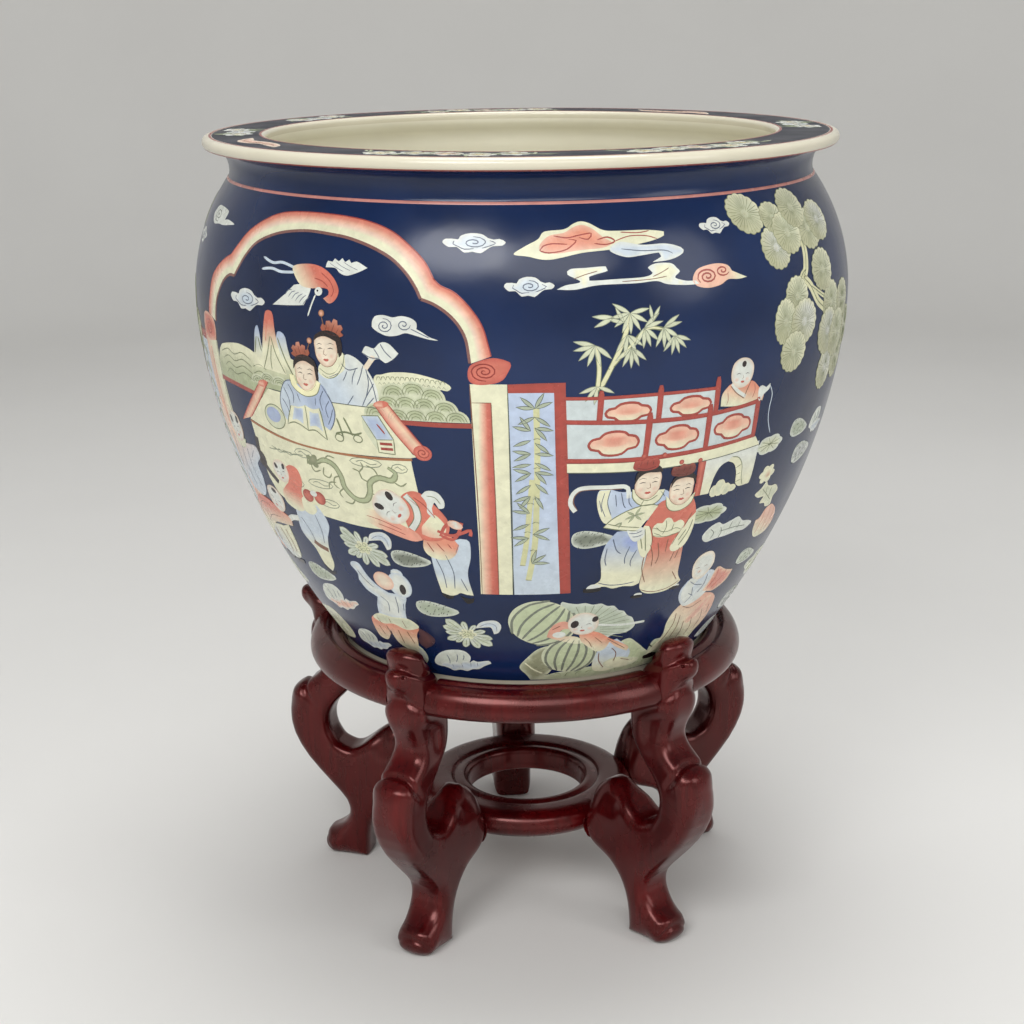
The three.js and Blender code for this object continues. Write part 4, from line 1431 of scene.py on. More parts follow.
def draw_readers():
    """Two ladies behind the table, one with an open book."""
    with enamel("lady_with_scroll", -35) as e:
        e.fill(HAIR, "14,300! 16,305.5 22,305.5 27,302 28.4,293 27,287 24,284 20,296!", 2)
        e.fill(PALE_BLUE, "7,277 12,274 20,276 26,281 30,290 36,290 43,285.6 49,278 53,268 53,258 51,254.4! "
               "11,255! 7,262 6,270", 2, to=(IVORY, (24, 262), (46, 274)))
        robe_lines(e, "27,284 32,280 40,282", "44,284 41,276 38,270", "38,281 35,275 34,270",
                   "31,279 29,275 27,272", "24,277 17,274 12,274", "46,282 47,272 44,262",
                   "51,272 44,262 40,255", "50,262 46,258 43,255", "52,256 50,270 46,280",
                   "34,262 30,257 28,255", on=3)
        e.line(CREAM, 2.4, "9,278 13,274 20,276 26,283 28,291", 3)
        e.line(LEAF_LINE, 0.8, "10,275 15,272.6 22,275 28,283 30,291", 3.4)
        e.fill(CREAM, "7,276 9,282 18,286 28,292 30,282 24,276 14,272", 2.6)
        e.lines(LEAF_LINE, 0.8, "8,279 15,275.4 22,278 27,285", on=3)
        face(e, 14.8, 290.6, 1.08, 3)
        e.fill(HAIR, "4.6,297! 6,301.6 12,305 19,305.8 26,303 28.4,297 27.8,290 25.4,288! 24.4,298.6! "
               "15,301.6 8,300", 4.8)
        crown(e, 20.5, 306.4, 0.98, -10)
        e.fill(SKIN, "44,283! 48,288 51,291.6 54,290 51,286 47,281!", 3)
        e.fill(IVORY, "44,293! 47,297.6 53,296.4 58,300.6 64,300.4 71,294! 67,290 61,287 57,289.6 51,288!", 3)
        robe_lines(e, "53,296.4 56,292 57,289.6", "58,300 61,295 66,290.4", "44,293 50,290 57,290", on=4)
    with enamel("lady_reading", -35) as e:
        e.fill(PALE_BLUE, "-20,267 -27,265 -33,256 -35,247 -33,239 -28,236 -8,244! 6,236 10,234 14,240 "
               "16.4,248 14,257 8,267 -4,262", 5, to=(SKY, (-24, 250), (-6, 262)))
        robe_lines(e, "-29,261 -25,252 -26,244", "-24,264 -20,257 -21,250", "-32,252 -28,246 -27,240",
                   "9,263 5,256 6,248", "13,256 9,250 10,243", "15,250 12,243 9,238", "-16,258 -14,252",
                   "1,257 0,251", on=6)
        e.line(FOLD, 0.9, "-20,267 -27,265 -33,256 -35,247 -33,239", 6)
        e.line(FOLD, 0.9, "8,267 14,257 16.4,248 14,240 10,234", 6)
        e.fill(CREAM, "-31,233! -24,235.4 -17,234 -11,231! -4,232 1,229 5.4,226! 4,244 3,249.4! -3,248 "
               "-10,250! -16,248 -24,248! -28,240!", 6)
        e.fill(SKY, "-25,237! -20,238 -14.6,235.4! -12.6,247 -17,246.6 -21,247!", 6.6, rim=PALE_BLUE,
               depth=1.5)
        e.fill(SKY, "-8.4,234.4! -2,235.4 3,232! 1.6,245.6! -3.4,245 -6.4,246!", 6.6, rim=PALE_BLUE,
               depth=1.5)
        e.lines(LEAF_LINE, 1.0, "-31,233! -24,235.4 -17,234 -11,231! -4,232 1,229 5.4,226!",
                "-11,231 -10,240 -10,250", "-31,233! -28,240! -24,248!", "5.4,226! 4,244 3,249.4!", on=7)
        e.fill(BUTTER, "-21,271 -20,264 -14,259 -6,257 3,260 7.4,268! 4,270! 0,264 -7,261.4 -14,264 -17,271!",
               6.4)
        e.lines(LEAF_LINE, 0.8, "-21,271 -20,264 -14,259 -6,257 3,260 7.4,268", on=7)
        face(e, -5.4, 271, 1.08, -2, on=6)
        e.fill(HAIR, "-16.2,276! -14.8,282.6 -9,286.6 -2,286.6 4,283.4 6,277 6.2,270.6 4.2,269.6! 3.4,279.4! "
               "-5,282.6 -12,280.4", 6.8)
        crown(e, -8, 288.4, 0.9, 4, flip=True, on=6)


def draw_bamboo_panel():
    """A panel of bamboo right of the gate."""
    with enamel("bamboo_panel", 0) as e:
        e.fill(POWDER_BLUE, "-10,272! 25,272! 29,104! -7,104!", 0, to=(PALE_BLUE, (8, 200), (8, 110)))
        e.band("-10,275 10,275.6 28.6,275.6", "-10,269 10,269 28.4,268.6", [BRICK, RUST, BRICK], 1)
        e.band("28.4,275 31,190 33,104", "20.8,269 22.6,190 25.4,104", [BRICK, RUST, BRICK], 1)
        for points, width in (("9,258 9.5,225 9,190 7.5,150 3,118", 4.2), ("6,205 4,180 2,155 -1,132", 3.8)):
            e.line(GREY_GREEN, width + 1.2, points, 1, taper=False)
            e.line(BAMBOO, width, points, 1.8, taper=False)
        for x, y in ((9.4, 236), (9.3, 214), (9, 190), (8.2, 170), (6.5, 146), (4.6, 186), (2.6, 162)):
            e.line(GREY_GREEN, 0.9, f"{x - 2.4},{y - 0.5} {x},{y + 0.6} {x + 2.4},{y - 0.5}", 3)
        on_left = ((242, (125, 165)), (235, (200,)), (225, (170, 205)), (217, (190,)), (210, (165, 210)),
                   (201, (215,)), (192, (200, 232)), (178, (135, 170)), (169, (205,)), (157, (178, 215)))
        on_right = ((258, (20, 60, 140, 175)), (252, (-35, 205)), (244, (-10, -50)), (233, (-40,)),
                    (225, (-8,)), (218, (-30,)), (211, (-12, -52)), (202, (-45,)), (192, (-62,)),
                    (160, (25, -25)), (134, (75, 38, 0)))
        for side, rows in ((-1, on_left), (1, on_right)):
            for y, turns in rows:
                x = 6.6 + 1.4 * side - 0.04 * max(0, 200 - y)
                leaves(e, x, y, 12.6, *turns, colour=LICHEN, vein=INK, on=3)


def draw_clouds():
    """The drifting clouds over the courtyard."""
    with enamel("small_clouds", 0) as e:
        round_cloud(e, -31, 368.5, 21, 6.8, CLOUD, PALE_BLUE)
        round_cloud(e, 5, 339.5, 16.5, 6.6, CLOUD, PALE_BLUE)
    with enamel("coral_cloud", 0) as e:
        e.fill(CREAM, "-5,361 2,366 11,371 15,376 28,377.4 34,381 39,382.6 45,381 54,376 64,375 84,374.6 "
               "97,372.6 97,370 88,367 70,364 58,362.4 40,361 18,357 4,359.4")
        e.fill(APRICOT, "12,367 18,373 28,375 34,378.6 40,380 47,377 54,371 60,367 54,364 40,363 22,361 "
               "13,363", 1, rim=BLUSH, depth=4)
        e.lines(BRICK, 1.1, "30,367 20,367.6 14,366 12,363.4 18,361.6 28,363 33,366 36,369.4 31,370.4",
                "21,373 30,371.4 38,373 46,374 44,370 38,371.4", "48,367 56,366 62,368 57,371 50,369.4", on=2)
        e.lines(BRICK, 0.9, "62,368 72,371 84,370.6 92,368", "66,374 78,373 86,374")
    with enamel("blue_ribbon", 30) as e:
        e.fill(PALE_BLUE, "-68,362 -60,367.4 -45,364.6 -28,364.4 -17,361 -16,357.6 -22,354.6 -30,353 "
               "-40,352.6! -33,356 -34,358.6 -46,357.6 -58,357", 2, rim=IVORY, depth=2)
        e.line(FOLD, 0.8, "-60,362.6 -46,360.6 -30,360 -24,357.4", 3)
    with enamel("cream_ribbon", 20) as e:
        e.fill(CREAM, "-64,337.4! -58,340 -48,342 -56,347 -54,350.4 -44,351 -30,351.4 -29,348.6 -36,346.8 "
               "-42,345 -42,342.6 -24,342.8 -4,343.2 2,345.6 -1,349 5,351.6 16,351 20,347.6 22,345 18,341.4 "
               "26,338.6 34,338 36,336 26,335.8 12,337.4 4,340 -10,339.4 -36,339.4 -52,337", 0, rim=IVORY,
               depth=1.6)
        e.lines(SEPIA, 0.7, "-52,344 -45,346.4 -36,348.6", "2,343 9,345.6 14,348", "-20,341 0,341.4 12,342.6")
    with enamel("coral_coil", 30) as e:
        e.fill(BLUSH, "-12,339 -8,345 0,347.4 10,348 18,346 21,342! 28,339 34,336.6! 26,336 17,336.6 "
               "10,333.6 0,332.4 -9,334.4", 0, to=(CREAM, (14, 340), (28, 337)))
        spiral(e, 0, 340, 8.4, 5.4, 2.2, BRICK, 1.5, 150)
        spiral(e, 13, 343, 6, 3.8, 1.6, BRICK, 1.3, 120)
        round_cloud(e, 14, 374, 13, 6)


def draw_bamboo_tree():
    """A young bamboo behind the fence."""
    with enamel("bamboo_tree", 10) as e:
        for points, width in (("6,268 7,284 5,299", 2.6), ("8,270 17,288 24,304 28,320", 2.8),
                              ("14,283 28,298 40,309 52,308", 1.8)):
            e.line(LEAF_LINE, width + 1.0, points, 0, taper=False)
            e.line(REED, width, points, 0.8)
        for x, y, length, turns in ((4, 300, 14, (168, 192, 222, 250, -40, -75)),
                                    (6, 272, 12, (200, 232, 262, -24)), (17, 318, 14, (176, 204)),
                                    (28, 320, 13, (150, 190, 218, 246, -88, -58, -28, 10)),
                                    (26, 306, 13, (236, 262, -62, -36)),
                                    (38, 310, 13, (240, 268, -70, -42, 14, 40)),
                                    (29, 297, 13, (216, 244, 270, -66, -40)),
                                    (52, 309, 13, (246, 272, -64, -34, 12, 34)),
                                    (60, 303, 12, (232, 262, -72, -44, -18)), (24, 314, 11, (164, 120)),
                                    (44, 314, 10, (60, 100))):
            leaves(e, x, y, length + 1, *turns, colour=PALE_SAGE, vein=GREY_GREEN)


def draw_bridge():
    """The fenced walk and the bridge pier below it."""
    with enamel("fence", 26) as e:
        e.fill(PEARL, "-86,264! -60,263.4 -19,263.2 27,262.4! 27,246! 68,247! 69,221! 26,218 -31,216.6 "
               "-81,219!", 0)
        for x, y in ((-41, 252.4), (6, 252.4)):
            cartouche(e, x, y, 32, 13.4, 1)
        for x, y, w in ((-49, 230, 35), (-2, 230, 33), (45, 231.6, 33)):
            cartouche(e, x, y, w, 17.6, 2)
        rail = [BRICK, RUST, DARK_BRICK]
        e.band("-86,265.6 -60,264.8 -19,264.6 27,263.8", "-86,263.2 -60,262.4 -19,262.2 27,261.4", rail, 3)
        e.band("-84,249.2 -26,246 22,245.6 68,248.8", "-84,246 -26,242.8 22,242.4 68,245.6", rail, 4)
        e.band("-81,220.4 -31,218.2 26,219.4 69,222.4", "-81,217 -31,214.8 26,216.2 69,219.2", rail, 4)
        for x, low, high in ((-61, 247, 269), (-18.6, 245, 269.6), (27, 245, 270.6)):
            e.fill(rail[1], f"{x - 2},{low}! {x - 2},{high - 3} {x},{high} {x + 2},{high - 3} {x + 2},{low}!",
                   3.4, rim=rail[0], depth=1.4)
        for x, low, high in ((-25, 217, 250.4), (22.4, 217.4, 251), (67, 219, 250)):
            e.fill(rail[1], f"{x - 2},{low}! {x - 2.2},{high - 3} {x},{high} {x + 2.2},{high - 3} "
                   f"{x + 2},{low}!", 5, rim=rail[0], depth=1.4)
    with enamel("walk", 26) as e:
        e.fill(CREAM, "-80,216.6! -30,214.6 20,216 70,219.6! 76,212! 20,208 -30,207.2 -79,209.4!", 5)
        e.line(INK, 0.8, "-79,209.6 -30,207.4 20,208.2 75,212", 6, taper=False)
    with enamel("pier", 30) as e:
        e.fill(IVORY, "6,210! 30,212 59,215! 58.4,184 54,180.6 46,180.6 42,184! 40,194 36,201 30,204 "
               "23,201 19,193 17,180! 8,180!", 2, to=(CREAM, (44, 208), (44, 184)))
        e.fill(CREAM, "42,184! 40,194 36,201 30,204! 33,207 40,205 45,198 47,188 50,181! 46,180.6", 3)
        e.lines(LEAF_LINE, 0.8, "50,181 47,188 45,198 40,205 33,207", "45,192 41,191", "44,199 39,197",
                "47,186 42,185", on=4)
        e.band("2,212 3,196 3.4,180", "8.6,212 9,196 9.4,180", [BRICK, CORAL, BRICK], 4)
        for x, y, w, h in ((22, 181, 4, 5), (27, 183, 5, 7), (33, 181, 5, 5), (39, 180.6, 4.6, 3)):
            e.fill(PALE_SAGE, oval(x, y, w, h), 4 if w > 4.7 else 3, rim=CREAM, depth=1.6)
        pad(e, 73, 209, 15, 7, 4, PALE_SAGE)


def draw_strolling_ladies():
    """Two ladies on the walk."""
    with enamel("lady_in_blue", 22) as e:
        e.fill(POWDER_BLUE, "-18,191! -24,192 -31,194.6 -38,194 -39,187 -37,178 -33,169 -29,166! -14,166! "
               "12,165! 17,182 15,187 8,190", 1, to=(PALE_BLUE, (-20, 184), (-34, 180)))
        e.fill(CREAM, "-38,194! -39,187 -37,178 -33,169 -29,166 -26,170 -30,180 -31,190 -30,194!", 1.6)
        robe_lines(e, "-30,194 -31,184 -27,173", "-26,190 -24,180", "-22,191 -19,181 -17,178", "8,189 12,184",
                   "-16,189 -15,182 -12,178", "-34,192 -35,182 -31,172", "-37,186 -34,176", "12,180 4,176",
                   on=2)
        e.fill(SKY, "-20,158! 6,160! 7,140 6.6,107! 2,105 -6,106 -14,105 -20,107.6 -27,108 -31,109 -25,114 "
               "-26,124 -28,134 -27,146 -23,154", 1, to=(CREAM, (-8, 146), (-12, 118)))
        e.fill(CORNFLOWER, "-16,154! 2,156! 1,144 -4,138 -10,142 -15,146", 1.5, rim=SKY, depth=6)
        robe_lines(e, "-22,152 -18,142 -14,138", "-25,144 -25,134 -23,128", "-8,144 -10,134 -9,128",
                   "-2,140 -5,130 -4,125", "-26,112 -18,109 -8,108 2,109", on=2.4)
        e.fill(IVORY, "-34,107 -31,110.6 -25,110 -23,107.6 -29,106", 1.6)
        e.fill(BLACK, "-36,107! -29,106.8 -23,107.4! -23,104.2 -30,102.8 -35.6,104", 2)
        e.fill(CREAM, "-31,163! -26,169 -17,174.6 -7,178 2,178.6 8,177! 4,170 -1,163 -4,157! -12,157.6 "
               "-21,160", 3)
        e.line(LEAF_LINE, 0.9, "-31,163! -26,169 -17,174.6 -7,178 2,178.6 8,177!", 4)
        e.lines(LEAF_LINE, 0.9, "-31,163 -20,160 -4,157", "-28,165.6 -18,162.6 -4,160", on=4)
        leaves(e, -9, 171, 7.4, 10, 60, 150, 200, 235, 320, colour=SAGE, vein=GREY_GREEN, on=4)
        leaves(e, -18, 166, 5, 200, 250, colour=SAGE, vein=GREY_GREEN, on=4)
        e.fill(IVORY, "-13,159 -8,157 -2,160! 2,156 0,150 -5,147.6 -9,151", 4)
        robe_lines(e, "-11,156 -6,155 -1,157", "-8,152.4 -4,152 0,153.6", on=5)
        e.fill(CREAM, "-14,193! -13,186 -9,181 -4,178.4 3,178.6 8,182 11,190! 4,190 -2,189 -8,190", 2)
        e.lines(LEAF_LINE, 0.9, "-14,192 -13,186 -9,181 -4,178.4 3,178.6 8,182 11,189",
                "-11,189 -6,184 0,182.6 6,186", "-4,183 -6,179", on=3)
        e.bar(IVORY, 3.2, "-53,178 -57,184 -57,191 -53,196 -46,197 -34,196.4 -20,195.8 -17,192 -16,186", 2)
        e.line(SEPIA, 0.7, "-51.6,179 -55,185 -55,190.6 -51.6,194.4 -46,195.2 -34,194.8 -22,194", 2.8)
        face(e, -2.8, 194.4, 1.12, 0, flip=True, on=3)
        e.fill(HAIR, "-13,197! -12.8,204 -9.6,208.6 -3,210.6 4,209.8 7.4,205! 3,204.8 -5,205.2 -10.4,202", 7)
        flat_cap(e, -6, 211.6, BRICK)
    with enamel("lady_in_coral", 22) as e:
        e.fill(CORAL, "14,181! 9,179 4,170 0,161 -3.4,152 -2,143 2,134 6,131! 8,143! 7,126 7,112 8,102 13,96 "
               "22,93.6 33,94.4 42,99.6 43.4,102! 39,110 37.6,124 36.6,137! 40,143 42,155 41,168 37,178 "
               "33,181.6!", 3, to=(CREAM, (20, 140), (20, 99)))
        e.fill(CREAM, "0,161! -3.4,152 -2,143 2,134 5.6,131.6! 9,141 7,152 4,160!", 3.6)
        e.fill(CREAM, "41.6,166! 42,155 40,143 36,136 29,133 25,137 28,146 33,153 36,160!", 3.6)
        e.lines(SEPIA, 0.8, "8,143 12,132 13,122", "14,144 17,132 16,124", "22,146 22,134", "30,133 28,124",
                "34,136 32,126", "5,132 6,120 11,107", "33,113 39,104", "9,100 16,96.6 24,95.4 34,97 42,102",
                "4,160 8,152 9,142", "36,160 31,152 26,140", "38,166 35,158", on=4.4)
        e.fill(CREAM, "7,158 10,161.6 14,161 17,165 21,164 24,160 29,161.6 33,158 32,151 25,150 19,148.4 "
               "12,149 8,152", 4.4)
        e.lines(LEAF_LINE, 0.8, "10,158 14,154 20,153 26,155 31,153", "17,163 18,157 16,151", "24,159 23,153",
                "9,153 15,150", "7,158 12,156", "1,158 3,148 5,138", "-1,150 2,140", "40,160 38,150 32,138",
                "36,152 31,143", "8,151 20,148.6 31,151", on=5.2)
        e.fill(CREAM, "13,184! 15,175 20,170.6 28,170.6 35,175.4 37,184! 33,180 25,178 18,180", 4)
        e.lines(LEAF_LINE, 0.8, "13,183 15,175 20,170.6 28,170.6 35,175.4 37,183", on=5)
        face(e, 25, 185.4, 1.12, 2, flip=True, on=5)
        e.fill(HAIR, "15.4,190! 16,196 19,199.6 24,201.6 30,201 35,197.6 36.4,190! 34,195.4! 27,197.4 19,196",
               7)
        flat_cap(e, 24, 203.4, CHESTNUT)
        for x, y in ((8.4, 95), (40.4, 97)):
            e.fill(IVORY, oval(x, y, 3.4, 1.6), 2.4)
            e.fill(BLACK, oval(x - 0.6, y - 1.8, 5, 1.7), 3)


def draw_bridge_boy():
    """A boy who leans over the fence with a line in one hand."""
    with enamel("boy_with_line", 26) as e:
        e.fill(APRICOT, "31,248.6! 31,256 34,260.6 39,264 46,262 54,263.4 59,263.4 64,259.6 69,254.6! 72,252 "
               "71,247! 66,249! 46,247", 4.4, to=(CREAM, (48, 262), (44, 249)))
        e.lines(BRICK, 0.8, "36,258 37,252 36,249", "61,261 62,256 60,251", on=5)
        e.bar(IVORY, 2.6, "39,264 45,258 53,253", 5.4)
        e.line(SEPIA, 0.7, "38,262.6 44,256.6 52,251.6", 6)
        e.line(SEPIA, 0.7, "57,264 54,258 52,253", 6)
        e.fill(IVORY, "66,257 70,258.4 74,256.4 78,258.6 77,254.6 72,251.6 68,247 66,251", 5)
        boy_head(e, 48, 270.4, 1.04, -3, flip=True, on=5.6, tufts=((-0.4, 6.4, 2, 2.2, 0),))
        e.line(PALE_BLUE, 0.8, "78,257.6 82,250 81,240 82,230 87,219", 0)


def draw_pine():
    """The pine that hangs into the scene from the right."""
    with enamel("pine_branch", 60) as e:
        for points, width in (("-28,364 -26,348 -30,334 -34,329 -26,322 -16,310 -4,303 4,297", 6.4),
                              ("-30,334 -36,331 -40,326", 4), ("-26,322 -10,314 2,309", 3.4)):
            e.bar(REED, width, points, 0.6)
            e.line(LEAF_LINE, 1.0, points, 1.4)
    fans = {
        "upper": ((-78, 380, 16, 15), (-52, 374, 13, 12), (8, 366, 18, 15), (-42, 362, 16, 15),
                  (-25, 379, 16, 15), (-60, 353, 15, 15), (-12, 362, 17, 15), (-4, 331, 17, 15)),
        "lower_left": ((-45, 317, 14, 14), (-60, 301, 12, 16), (-36, 298, 17, 16), (-47, 278, 15.4, 14.4)),
        "lower_right": ((10, 305, 16, 16), (40, 303, 17, 15), (5, 285, 17, 17), (28, 280, 18, 18),
                        (60, 280, 16, 15), (11, 256, 15, 16), (42, 260, 18, 17)),
    }
    shades = [PALE_SAGE, PALE_SAGE, CLOUD]
    for group, places in fans.items():
        with enamel(f"pine_fans_{group}", 60) as e:
            for n, (x, y, across, up) in enumerate(places):
                pine_fan(e, x, y, across, up, 2 + 0.9 * (n % 5), shades[n % 3])


def draw_pond_plants():
    """The lotus flowers and leaves of the pond."""
    with enamel("plants_left", -30) as e:
        lotus(e, -8, 137, 1.05)
        pod(e, 30, 132, 31, 0, colour=SLATE_GREEN)
        pod(e, 37, 84, 33, 0, colour=LICHEN)
        pod(e, -68, 97, 34, 0, colour=LICHEN)
        lump_leaf(e, -60, 72, 1.05, 0, tip=BLUSH)
        lump_leaf(e, -42, 29, 0.9, 0)
    with enamel("plants_middle", 0) as e:
        lotus(e, -42, 60, 1.0, colour=PALE_LICHEN)
        lump_leaf(e, -48, 25, 1.04)
        pod(e, 49, 153, 32, 0, colour=SLATE_GREEN)
    with enamel("plants_right", 30) as e:
        pad(e, 22, 162, 17, 7.6, 0)
        e.fill(FROST, "23,141 28,148 36,151 42,148 50,149.6 58,151 64,146 72,144 78,140.6 70,136 60,137 "
               "48,136 38,136 28,135", 0, rim=IVORY, depth=2)
        e.lines(INK, 0.8, "40,146 42,141 40,136", "52,148 50,142", "62,146 60,140", "30,146 34,142 32,137",
                "40,142 56,142 70,140")
    with enamel("plants_far_right", 60) as e:
        pod(e, -12, 214, 30, -8, colour=LICHEN)
        lump_leaf(e, 26, 211, 0.8, -14)
        pod(e, 10, 190, 36, 0, colour=STONE)
        e.fill(CREAM, oval(-42, 183, 8.6, 7, 0, 6, 0.3))
        e.fill(AMBER, oval(-41, 183, 4.6, 3.8), 1, rim=CREAM, depth=2)
        e.fill(PALE_SAGE, "-48,167 -42,171 -38,176 -34,172 -28,170 -20,169 -13,163 -17,158 -16,151 -24,151 "
               "-28,155 -36,157 -34,162 -42,163", 0, rim=CREAM, depth=2)
        e.lines(LEAF_LINE, 0.8, "-40,170 -30,163 -20,156", "-34,171 -32,164", "-26,168 -25,160")
        e.fill(BLUSH, "-29,140! -24,141 -20,148 -12,150 -4,146 2,142 7,136! 9,128 4,122 -6,120.6 -18,122 "
               "-26,130", 0, to=(CREAM, (-8, 138), (-14, 123)))
        e.lines(CLAY, 0.9, "-20,147 -18,136 -20,126", "-12,149 -9,138 -10,126", "-3,146 0,136 -2,126")
        pod(e, -12, 103, 30, -6, colour=MIST_GREEN)
        pod(e, 18, 52, 44, -6, colour=STONE)
        lump_leaf(e, 12, 20, 0.9, -6)
        pad(e, 44, 82, 42, 14, -10, PALE_SAGE)


def draw_bending_boy():
    """A boy who bends down in front of the gate."""
    with enamel("boy_bending", -30) as e:
        e.fill(PALE_BLUE, "47,141! 46,122 46,103! 52,100.6 57,102 60,104 64,102.6 69,102! 70,122 76,139 "
               "78,153 72,155! 58,150", 1, to=(CREAM, (60, 120), (56, 106)))
        robe_lines(e, "50,136 52,122 51,108", "58,140 60,124 57,108", "66,142 70,150", "64,118 66,106", on=2)
        e.fill(BLACK, "45,102! 50,101 55,101.6! 53,98 48,97.4", 0.6)
        e.fill(BLACK, "59,101! 63,99 67,98.6 69,100! 67,95 62,93.6", 0.6)
        e.fill(APRICOT, "45,153! 43,145 45,138.6 52,135 60,136 66,141 70,149! 64,158 52,156", 2,
               to=(CREAM, (56, 150), (52, 137)))
        e.fill(WARM_CORAL, "33,184! 38,190 46,193 53,190 60,182 66,172 66,162 60,154 50,151.4 40,153! 36,160",
               3, rim=CORAL, depth=2)
        e.fill(CREAM, "45,157! 52,154.6 60,156 64,164 62,170 57,174.6 50,168 46,163", 3.6,
               to=(BLUSH, (54, 165), (48, 157)))
        e.fill(SHRIMP, "0,171! 8,174 20,169 35,161 42,157 44,151.6! 36,150 20,155 6,161 1,165", 4,
               to=(CREAM, (22, 162), (3, 168)))
        e.lines(BRICK, 0.8, "4,168 16,165 30,159", "12,162 22,159 32,155", "45,188 52,182 58,172",
                "42,186 48,180", "47,150 50,142", "54,150 58,143", "62,150 64,146", on=5)
        e.fill(IVORY, "51,190! 56,194 63,193.4 67,187 66,181 62,180! 60,185 57,180! 57,172! 53,176 54,184", 4,
               rim=IVORY, depth=1.4)
        e.line(LEAF_LINE, 0.8, "55,190 61,189 64,184", 5)
        e.bar(IVORY, 5, "39,189 44.6,181 44.6,170 38,160.4", 4.6)
        e.lines(LEAF_LINE, 0.8, "41,190 47,181.4 47,170 40,159", "37,188 42,180.6 42,170.6 36,162", on=5.4)
        boy_head(e, 26, 177.4, 1.36, 48, on=5)
        for outline in ("57,161 66,157.6 74,160 81,163 80,158", "58,158 66,154 72,160 76,169",
                        "60,160 64,166 70,170"):
            e.bar(LIP, 2.4, outline, 4)
        e.fill(IVORY, oval(71, 167, 5.6, 3.6, -20), 4.6, rim=BLUSH, depth=1)


def draw_reaching_boy():
    """A boy with one arm up."""
    with enamel("boy_reaching", -30) as e:
        e.fill(IVORY, "-27,117 -24,121 -18,120 -14.6,111 -9,102 0,95! 14,94 11,84 8,74 7,66! -18,68! -16,78 "
               "-12,88! -20,94 -24,103! -23,110", 1, rim=PALE_BLUE, depth=5)
        robe_lines(e, "-22,113 -18,105 -12,98", "-9,90 -4,84 -6,74", "5,92 4,82 2,74", "10,86 8,78", on=2)
        e.fill(APRICOT, "-19,68! -28,62 -30,52 -29,40 -22,38 -16,46! -14,52! -12,38 -4,31 4,29! 7,40 10,52 "
               "14,60 8,67!", 2, to=(CREAM, (-8, 58), (-8, 34)))
        e.fill(PALE_SAGE, "-26,63 -18,69 -6,68 8,69 15,62 10,58 2,56 -8,60 -18,58", 3, rim=CREAM, depth=2)
        e.lines(SEPIA, 0.8, "-22,64 -20,58", "-10,66 -10,60", "2,66 3,58", "-24,54 -22,44", "-16,56 -15,46",
                "-6,54 -6,38", "2,54 4,40", on=4)
        e.fill(IVORY, "3,40! 8,36 10,28 8,20 3,15! -2,22 0,30", 1, rim=PALE_SAGE, depth=2)
        e.fill(IVORY, oval(13, 105, 9.6, 12.4, -8), 3, rim=PALE_BLUE, depth=2.4)
        e.fill(SKIN, oval(0, 107, 8.4, 8.8), 3.6, rim=CHEEK, depth=4)
        e.fill(HAIR, oval(14.4, 101, 2.6, 5.4, -12), 4)
        e.fill(IVORY, oval(14, 116.6, 5, 4.4), 2.4, rim=PALE_BLUE, depth=1.4)
        e.fill(PLUM, "10,62! 18,58 24,50 20,42 12,36! 8,44 12,52", 0.4, rim=DARK_PLUM, depth=4)


